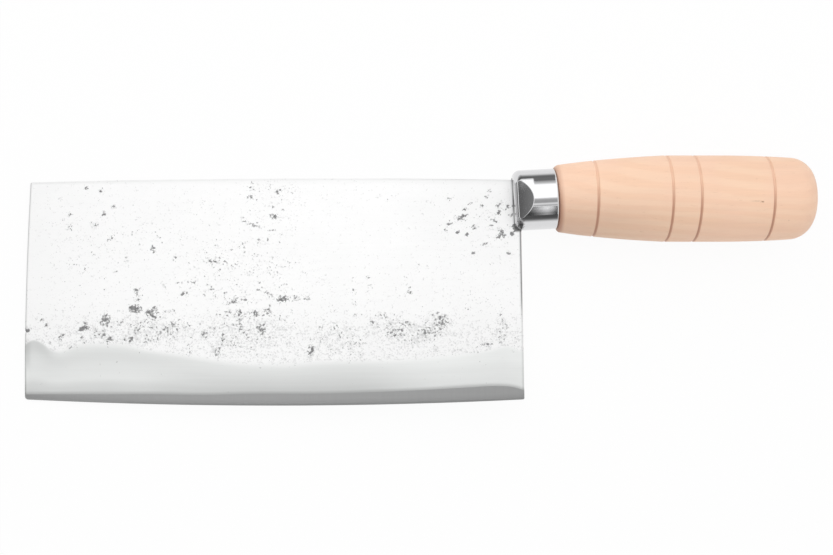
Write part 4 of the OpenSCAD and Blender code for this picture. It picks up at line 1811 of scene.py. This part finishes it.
@dataclass
class Handle:
    """The turned wooden handle, from its hidden tenon to the counterbore in its butt."""

    shoulder_x: float = -54.1
    butt_x: float = 59.6
    grip_r: float = 19.0
    front_r: float = 14.9
    shoulder_round: float = 1.3
    taper_start: float = -6.6
    taper_slope: float = 0.14
    grip_slope: float = 0.05
    straight_end: float = 17.0
    barrel_radius: float = 500.0
    dome_radius: float = 42.0
    butt_corner: float = 10.5
    tenon_length: float = 8.0
    tenon_r: float = 12.0
    neck_bore_r: float = 6.6
    tang_bore_r: float = 5.2
    bore_step: float = -6.0
    bore_end: float = 45.6
    stub_hole_r: float = 2.7
    washer_x: float = 56.6
    counterbore_r: float = 7.0
    mouth_round: float = 0.4
    droop: float = 3.0
    groove_r: float = 0.7
    groove_depth: float = 0.45
    grooves: tuple = (-37.8, -6.1, 6.1, 37.5)
    wobble: float = 0.02

    def taper(self, steps: int) -> list:
        """Outline from the shoulder's rounding to the grip.

        Args:
            steps: Number of pieces.

        Returns:
            Points of place and radius.
        """
        start = np.array([self.shoulder_x + self.shoulder_round, self.front_r])
        end = np.array([self.taper_start, self.grip_r])
        third = (end[0] - start[0]) / 3
        pulls = (
            start + third * np.array([1, self.taper_slope]),
            end - third * np.array([1, self.grip_slope]),
        )
        t = np.linspace(0, 1, steps + 1)[:, None]
        curve = (1 - t) ** 3 * start + 3 * (1 - t) ** 2 * t * pulls[0]
        curve += 3 * (1 - t) * t**2 * pulls[1] + t**3 * end
        return [tuple(point) for point in curve.tolist()]

    def butt(self) -> list:
        """Outline of the barrel, the rounded butt corner and the dome, to the counterbore.

        Returns:
            Points of place and radius.
        """
        barrel = np.array([self.straight_end, self.grip_r - self.barrel_radius])
        dome = np.array([self.butt_x - self.dome_radius, 0.0])
        near, far = self.dome_radius - self.butt_corner, self.barrel_radius - self.butt_corner
        gap = np.linalg.norm(barrel - dome)
        along = (near**2 - far**2 + gap**2) / (2 * gap)
        ahead = (barrel - dome) / gap
        side = np.array([-ahead[1], ahead[0]])
        centre = dome + along * ahead + math.sqrt(near**2 - along**2) * side
        rise = math.degrees(math.atan2(*(centre - barrel)[::-1]))
        fall = math.degrees(math.atan2(*(centre - dome)[::-1]))
        mouth = self.counterbore_r + self.mouth_round
        last = math.degrees(math.asin(mouth / self.dome_radius))
        points = arc(barrel, self.barrel_radius, 90, rise, 34)
        points += arc(centre, self.butt_corner, rise, fall, 22)[1:]
        points += arc(dome, self.dome_radius, fall, last, 16)[1:]
        edge = (points[-1][0] - self.mouth_round, self.counterbore_r)
        return points + [(points[-1][0] - 0.1, mouth - 0.28), edge]

    def outside(self) -> list:
        """Outline from the taper to the butt, with more points at the grooves.

        Returns:
            Points of place and radius.
        """
        rough = self.taper(46)
        rough += [(x, self.grip_r) for x in np.linspace(self.taper_start, self.straight_end, 22)[1:]]
        rough += self.butt()[1:]
        half = math.sqrt(self.groove_r**2 - (self.groove_r - self.groove_depth) ** 2)
        # Where points lie, as shares of half a groove's width
        shares = np.array([0, 0.2, 0.4, 0.6, 0.78, 0.92, 1.0, 1.12])
        xs, rs = np.array(rough).T
        rising = xs[: int(np.argmax(xs)) + 1]
        extra = [g + side * s * half for g in self.grooves for s in shares for side in (-1, 1)]
        added = [(x, float(np.interp(x, rising, rs[: len(rising)]))) for x in sorted(set(extra))]
        keep = [p for p in rough if all(abs(p[0] - g) > 1.3 * half for g in self.grooves)]
        turn = max(range(len(keep)), key=lambda i: keep[i][0])
        return sorted(keep[: turn + 1] + added) + keep[turn + 1 :]

    def outline(self) -> list:
        """Closed outline of the handle's section, bore and all.

        Returns:
            Points of place and radius, the first again at the end.
        """
        tip = self.shoulder_x - self.tenon_length
        corner = (self.shoulder_x + self.shoulder_round, self.front_r - self.shoulder_round)
        points = [(tip, r) for r in np.linspace(self.neck_bore_r, self.tenon_r, 5)]
        points += [(x, self.tenon_r) for x in np.linspace(tip, self.shoulder_x, 9)[1:]]
        points += arc(corner, self.shoulder_round, 180, 90, 10)
        points += self.outside()[1:]
        points += [(self.washer_x, self.counterbore_r)]
        points += [(self.washer_x, r) for r in np.linspace(self.counterbore_r, self.stub_hole_r, 5)[1:]]
        points += [(x, self.stub_hole_r) for x in np.linspace(self.washer_x, self.bore_end, 5)[1:]]
        points += [(x, self.tang_bore_r) for x in np.linspace(self.bore_end, self.bore_step, 14)]
        return points + [(x, self.neck_bore_r) for x in np.linspace(self.bore_step, tip, 14)]

    def build(self, tree: TurnedTree, finish: Material) -> Object:
        """Builds the handle.

        Args:
            tree: The tree that turns it.
            finish: Its material.

        Returns:
            The handle.
        """
        made = tree.turn(
            "turned_handle",
            self.outline(),
            finish,
            Groove_Radius=self.groove_r * MM,
            Groove_Depth=self.groove_depth * MM,
            **{name.replace(" ", "_"): x * MM for name, x in zip(tree.groove_names, self.grooves)},
            Shoulder=self.shoulder_x * MM,
            Droop=math.tan(math.radians(self.droop)),
            Core_Radius=(self.counterbore_r + self.mouth_round) * MM,
            Wobble=self.wobble * MM,
        )
        carry(made, finish, "handle")
        return made


@dataclass
class Washer:
    """The washer sunk in the butt, under the tang's peened head."""

    x: float = 56.6
    thickness: float = 1.2
    radius: float = 6.5
    hole: float = 2.6
    chamfer: float = 0.18

    def build(self, tree: TurnedTree, finish: Material) -> Object:
        """Builds the washer.

        Args:
            tree: The tree that turns it.
            finish: Its material.

        Returns:
            The washer.
        """
        near, far = self.x, self.x + self.thickness
        cut = self.chamfer
        outline = [(near, self.hole + cut), (near, self.radius - cut / 2), (near + cut / 2, self.radius)]
        outline += arc((far - 2 * cut, self.radius - 2 * cut), 2 * cut, 90, 0, 6)
        outline += [(far, r) for r in np.linspace(self.radius - 3 * cut, self.hole + 2 * cut, 8)]
        outline += [(far - cut, self.hole), (near + cut, self.hole), outline[0]]
        made = tree.turn("butt_washer_turned", outline, finish, Segments=128, Wobble=0.02 * MM)
        carry(made, finish, "butt_washer")
        return made


@dataclass
class Tang:
    """The tang: a flat bar bedded in the bore, with a stub peened over the washer."""

    start: float = -60.0
    end: float = 45.5
    half_start: float = 6.0
    half_end: float = 3.0
    half_thickness: float = 1.5
    edge: float = 0.3
    stub_start: float = 43.1
    stub_r: float = 2.5
    head_x: float = 57.8
    head_r: float = 3.8
    head_top_r: float = 2.3
    head_height: float = 1.3
    blows: int = 14
    blow_depth: float = 0.12
    blow_seed: int = 11

    def build(self, tree: TurnedTree, finish: Material) -> list:
        """Builds the bar and the stub with its peened head.

        Args:
            tree: The tree that turns the stub.
            finish: Their material.

        Returns:
            The two pieces.
        """
        pieces = [self.build_bar(), self.build_stub(tree, finish)]
        for made in pieces:
            carry(made, finish, "tang")
        return pieces

    def build_bar(self) -> Object:
        """Builds the bar, with eased edges and the slight waves of forging.

        Returns:
            The bar.
        """
        section = [(1, -1, 0, 1), (1, 1, 0, -1), (1, 1, -1, 0), (-1, 1, 1, 0)]
        section += [(-1, 1, 0, -1), (-1, -1, 0, 1), (-1, -1, 1, 0), (1, -1, -1, 0)]
        places = np.linspace(self.start, self.end, 90)
        share = (places - self.start) / (self.end - self.start)
        half = self.half_start + (self.half_end - self.half_start) * share
        wave = 0.03 * (1 + np.sin(places / 3.1) * np.cos(places / 5.3))
        points = np.empty((len(places), len(section), 3))
        for i, (y_side, z_side, y_in, z_in) in enumerate(section):
            points[:, i, 0] = places
            points[:, i, 1] = y_side * (half - wave) + y_in * self.edge
            points[:, i, 2] = z_side * (self.half_thickness - wave) + z_in * self.edge
        faces = grid_faces(len(places), len(section), closed=True).tolist()
        last = (len(places) - 1) * len(section)
        faces += [list(range(len(section)))[::-1], [last + i for i in range(len(section))]]
        mesh = make_mesh("tang_bar", points.reshape(-1, 3), faces)
        shade(mesh, sharp_above=20)
        return link_object("tang_bar", mesh)

    def build_stub(self, tree: TurnedTree, finish: Material) -> Object:
        """Builds the round stub and hammers its head.

        Args:
            tree: The tree that turns it.
            finish: Its material.

        Returns:
            The stub.
        """
        top = self.head_x + self.head_height
        outline = [(self.stub_start, r) for r in np.linspace(0, self.stub_r, 4)]
        outline += [(x, self.stub_r) for x in np.linspace(self.stub_start, self.head_x, 8)[1:]]
        outline += [(self.head_x, self.head_r - 0.2), (self.head_x + 0.15, self.head_r)]
        outline += [(self.head_x + 0.45 * self.head_height, self.head_r)]
        bend = np.linspace(0, 1, 12)[1:]
        rise = self.head_x + self.head_height * (0.45 + 0.55 * np.sin(bend * math.pi / 2))
        reach = self.head_r - (self.head_r - self.head_top_r) * (1 - np.cos(bend * math.pi / 2))
        outline += list(zip(rise, reach))
        outline += [(top, r) for r in np.linspace(self.head_top_r, 0, 12)[1:]]
        made = tree.turn("tang_peened_head", outline, finish, Segments=96)
        points = mesh_points(made.data) / MM
        draw = np.random.default_rng(self.blow_seed)
        for _ in range(self.blows):
            turn, reach = draw.uniform(0, 2 * math.pi), draw.uniform(0, self.head_r * 0.85)
            away = points[:, 1:] - reach * np.array([math.cos(turn), math.sin(turn)])
            dent = draw.uniform(0.5, 1.0) * np.exp(-(away**2).sum(axis=1) / draw.uniform(0.5, 1.6))
            on_head = smooth_step(self.head_x + 0.5, top, points[:, 0])
            points[:, 0] -= self.blow_depth * dent * on_head
        made.data.vertices.foreach_set("co", (points * MM).ravel())
        made.data.update()
        return made


# Studio


@dataclass(frozen=True)
class Card:
    """A board that only the polished ferrule mirrors.

    Its tones lie at angles seen from the ferrule: off the zenith, towards +Y for a board across the
    knife and towards -X for one ahead. Across, in millimetres from its middle, shares of them are left.
    """

    name: str
    tones: tuple
    across: tuple = ((-75, 1.0), (55, 1.0))
    ahead: bool = False
    middle: float = 60.0
    distance: float = 900.0
    slant: float = 0.0523

    def points(self, ferrule: Vector) -> list:
        """Places the corners of the board's cells.

        Args:
            ferrule: The middle of the ferrule, in metres.

        Returns:
            The corners in metres, row by row.
        """
        found = []
        for angle, _ in self.tones:
            out = math.sin(math.radians(angle)) * self.distance
            up = math.cos(math.radians(angle)) * self.distance
            for aside, _ in self.across:
                side = self.middle + aside
                across = side - ferrule.x / MM - self.slant * out
                place = (-out, side, up) if self.ahead else (across, out, up)
                found.append(tuple(ferrule + Vector(place) * MM))
        return found

    def values(self) -> Array:
        """Tone at each corner."""
        return np.array([tone * share for _, tone in self.tones for _, share in self.across])


@dataclass
class Studio:
    """Pale floor, white surroundings, one soft lamp and boards that shape the reflections."""

    ferrule: tuple = (-0.0635, -0.0005, 0.0)
    blade_end: float = -287.5
    blade_half: float = 1.15
    floor_half: float = 3.0
    floor_gap: float = 0.05
    floor_white: float = 0.96
    floor_share: float = 0.93
    sky: float = 0.65
    lamp_turn: float = 32.0
    lamp_distance: float = 0.95
    lamp_size: float = 1.3
    lamp_power: float = 5.6
    camera_place: tuple = (-0.1547, -0.03474, 0.677)
    lens: float = 66.4
    sensor: float = 36.0
    shift: float = 0.1074
    cards: tuple = (
        Card("softbox", ((4.3, 1.45), (80, 1.45))),
        Card("blade_softbox", ((-26, 1.1), (5, 1.1)), ((-560, 1.0), (60, 1.0)), distance=1100.0),
        Card(
            "zenith_board",
            (
                (-29, 1.1), (-26, 0.5), (-24, 0.55), (-21.5, 0.8), (-18.5, 1.0), (-16, 0.72), (-14, 0.46),
                (-10.6, 0.42), (-6.9, 0.45), (-3.2, 0.5), (-0.5, 0.62), (1.5, 0.9), (4.4, 1.35),
            ),
        ),
        Card(
            "near_board",
            (
                (-71, 0.12), (-66, 0.2), (-62, 0.5), (-57, 0.46), (-53, 0.56), (-49, 0.83), (-45, 0.93),
                (-41, 1.12), (-37, 1.3), (-33, 1.3), (-29, 1.1),
            ),
            ((-75, 0.1), (-5, 0.1), (2, 0.5), (9, 1.0), (15, 0.9), (19, 0.08), (55, 0.08)),
        ),
        Card(
            "near_dark_board",
            ((-94, 1.0), (-87, 0.62), (-82, 0.28), (-77, 0.14), (-72, 0.1), (-62, 0.1)),
            ((-260, 1.0), (25, 1.0)),
            middle=-41.0,
            distance=150.0,
        ),
        Card("corner_board", ((-62, 0.12), (-38, 0.12)), ((-900, 1.0), (-75, 1.0))),
        Card(
            "strip_board",
            ((100, 0.9), (94.4, 0.7), (88.6, 0.28), (83.2, 0.17), (77.5, 0.17), (75, 0.9), (74, 1.4)),
            ((-70, 0.8), (-10, 0.8), (-2, 1.0), (10, 1.0)),
            middle=-57.5,
            distance=50.0,
        ),
        Card(
            "strip_low_board",
            ((79, 0.19), (65, 0.2), (61, 0.45), (57, 0.6), (53, 0.8), (48, 1.4)),
            ((-2, 1.0), (8.3, 1.0)),
            middle=-57.5,
            distance=49.0,
        ),
        Card(
            "leaf_board",
            ((40, 0.27), (51.4, 0.27), (51.8, 0.24), (52.15, 0.19), (52.5, 0.13), (53, 0.11), (55, 0.11)),
            ((-760, 1.0), (260, 1.0)),
            ahead=True,
            middle=0.0,
        ),
        Card(
            "leaf_spot",
            ((52.2, 0.4), (52.45, 0.6)),
            ((-5, 1.0), (4, 1.0)),
            ahead=True,
            middle=18.0,
            distance=890.0,
        ),
        Card("ahead_low_board", ((68, 0.14), (92, 0.1)), ((-760, 1.0), (320, 1.0)), ahead=True, middle=0.0),
    )

    def build(self, handle: Handle) -> None:
        """Builds the floor, the lights and the camera.

        Args:
            handle: The handle, whose belly rests on the floor.
        """
        self.build_floor(handle)
        self.build_world()
        self.build_lamp()
        for card in self.cards:
            self.build_card(card)
        self.build_camera()
        bpy.context.scene.view_settings.view_transform = "Standard"

    def seen(self, graph: Graph) -> NodeSocket:
        """Tells the camera's view of the white surroundings from their light.

        Args:
            graph: The graph that asks.

        Returns:
            1 where a ray comes from the camera, a mirror or through glass, else 0.
        """
        path = graph.add("ShaderNodeLightPath")
        total = graph.plus(path.outputs["Is Camera Ray"], path.outputs["Is Glossy Ray"])
        total = graph.plus(total, path.outputs["Is Transmission Ray"])
        return graph.math("MINIMUM", total, 1.0)

    def floor_height(self, handle: Handle) -> tuple[float, float]:
        """Where the floor lies: it touches the handle's belly and the blade's front end.

        Args:
            handle: The handle.

        Returns:
            The floor's height at the blade's front end and its slope.
        """
        places, radii = np.array(handle.outside()).T
        slope = float(np.max((radii - self.blade_half) / (places - self.blade_end)))
        return -self.blade_half, slope

    def build_floor(self, handle: Handle) -> None:
        """Builds the floor, which is white to the camera but keeps the knife's shadow.

        Args:
            handle: The handle.
        """
        height, slope = self.floor_height(handle)
        half = self.floor_half / MM
        corners = []
        for x, y in ((-half, -half), (half, -half), (half, half), (-half, half)):
            corners.append((x, y, height - self.floor_gap - slope * (x - self.blade_end)))
        mesh = bpy.data.meshes.new("studio_floor")
        mesh.from_pydata((np.array(corners) * MM).tolist(), [], [(0, 1, 2, 3)])
        floor = link_object("studio_floor", mesh)
        material = bpy.data.materials.new("floor_white")
        material.use_nodes = True
        graph = Graph(material.node_tree)
        material.node_tree.nodes.remove(material.node_tree.nodes["Principled BSDF"])
        pale = (self.floor_white,) * 3 + (1,)
        matt = graph.add("ShaderNodeBsdfDiffuse", {"Color": pale})
        glow = graph.add("ShaderNodeEmission", {"Color": (1, 1, 1, 1), "Strength": 1.0})
        share = graph.times(self.seen(graph), self.floor_share)
        both = graph.add("ShaderNodeMixShader", {0: share, 1: matt.outputs[0], 2: glow.outputs[0]})
        graph.feed(material.node_tree.nodes["Material Output"].inputs["Surface"], both.outputs[0])
        floor.data.materials.append(material)

    def build_world(self) -> None:
        """Makes the surroundings white to the camera and softer as a light."""
        world = bpy.data.worlds.new("studio_sky")
        world.use_nodes = True
        bpy.context.scene.world = world
        graph = Graph(world.node_tree)
        background = world.node_tree.nodes["Background"]
        background.inputs["Color"].default_value = (1, 1, 1, 1)
        strength = graph.linear(self.seen(graph), 1.0 - self.sky, self.sky)
        graph.feed(background.inputs["Strength"], strength)

    def build_lamp(self) -> None:
        """Hangs the soft lamp on the spine's side."""
        data = bpy.data.lights.new("spine_side_lamp", "AREA")
        data.shape, data.size, data.energy = "SQUARE", self.lamp_size, self.lamp_power
        lamp = bpy.data.objects.new("spine_side_lamp", data)
        turn = math.radians(self.lamp_turn)
        away = Vector((0, math.sin(turn), math.cos(turn)))
        lamp.location = Vector(self.ferrule) + away * self.lamp_distance
        lamp.rotation_euler = away.to_track_quat("Z", "Y").to_euler()
        lamp.visible_camera = lamp.visible_glossy = False
        bpy.context.scene.collection.objects.link(lamp)

    def build_card(self, card: Card) -> None:
        """Hangs one board.

        Args:
            card: The board.
        """
        rows, columns = len(card.tones), len(card.across)
        faces = grid_faces(rows, columns)
        mesh = bpy.data.meshes.new(card.name)
        mesh.from_pydata(card.points(Vector(self.ferrule)), [], faces.tolist())
        store_values(mesh, "tone", card.values())
        board = link_object(card.name, mesh)
        material = bpy.data.materials.new(card.name)
        material.use_nodes = True
        graph = Graph(material.node_tree)
        material.node_tree.nodes.remove(material.node_tree.nodes["Principled BSDF"])
        glow = graph.add("ShaderNodeEmission", {"Color": (1, 1, 1, 1), "Strength": graph.read("tone")})
        graph.feed(material.node_tree.nodes["Material Output"].inputs["Surface"], glow.outputs[0])
        board.data.materials.append(material)
        board.visible_camera = board.visible_diffuse = board.visible_shadow = False
        board.visible_transmission = board.visible_volume_scatter = False

    def build_camera(self) -> None:
        """Sets the camera straight above the blade's plane, as the photograph was taken."""
        data = bpy.data.cameras.new("photo_camera")
        data.sensor_width, data.lens, data.shift_x = self.sensor, self.lens, self.shift
        data.clip_start, data.clip_end = 0.01, 20.0
        camera = bpy.data.objects.new("photo_camera", data)
        camera.location = self.camera_place
        bpy.context.scene.collection.objects.link(camera)
        bpy.context.scene.camera = camera


def main() -> None:
    """Builds the knife and the studio in order."""
    logging.basicConfig(level=logging.INFO, format="%(name)s: %(message)s")
    effects = Effects()
    cladding = CladdingFinish("brushed_cladding").build(effects)
    core = CoreFinish("hard_core").build(effects)
    polish = PolishedFinish("mirror_ferrule").build(effects)
    wood = WoodFinish("pale_wood").build(effects)
    washer = SteelFinish("washer_steel", (0.6, 0.6, 0.6), 0.35, (0.6, 0.6, 3.0), 0.1).build(effects)
    bar = SteelFinish("tang_steel", (0.5, 0.5, 0.5), 0.45, (0.8, 0.8, 0.8), 0.3).build(effects)
    resin = ResinFinish("amber_resin").build(effects)
    ferrule = Ferrule()
    ferrule.build(polish)
    blade = Blade(ferrule)
    blade.build_core(core)
    for side in Side:
        blade.build_cladding(side, cladding)
    tree = TurnedTree()
    handle = Handle()
    handle.build(tree, wood)
    Washer().build(tree, washer)
    Tang().build(tree, bar)
    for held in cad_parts["tang_bedding"].material_slots:
        held.material = resin
    Studio().build(handle)


if __name__ == "__main__":
    main()
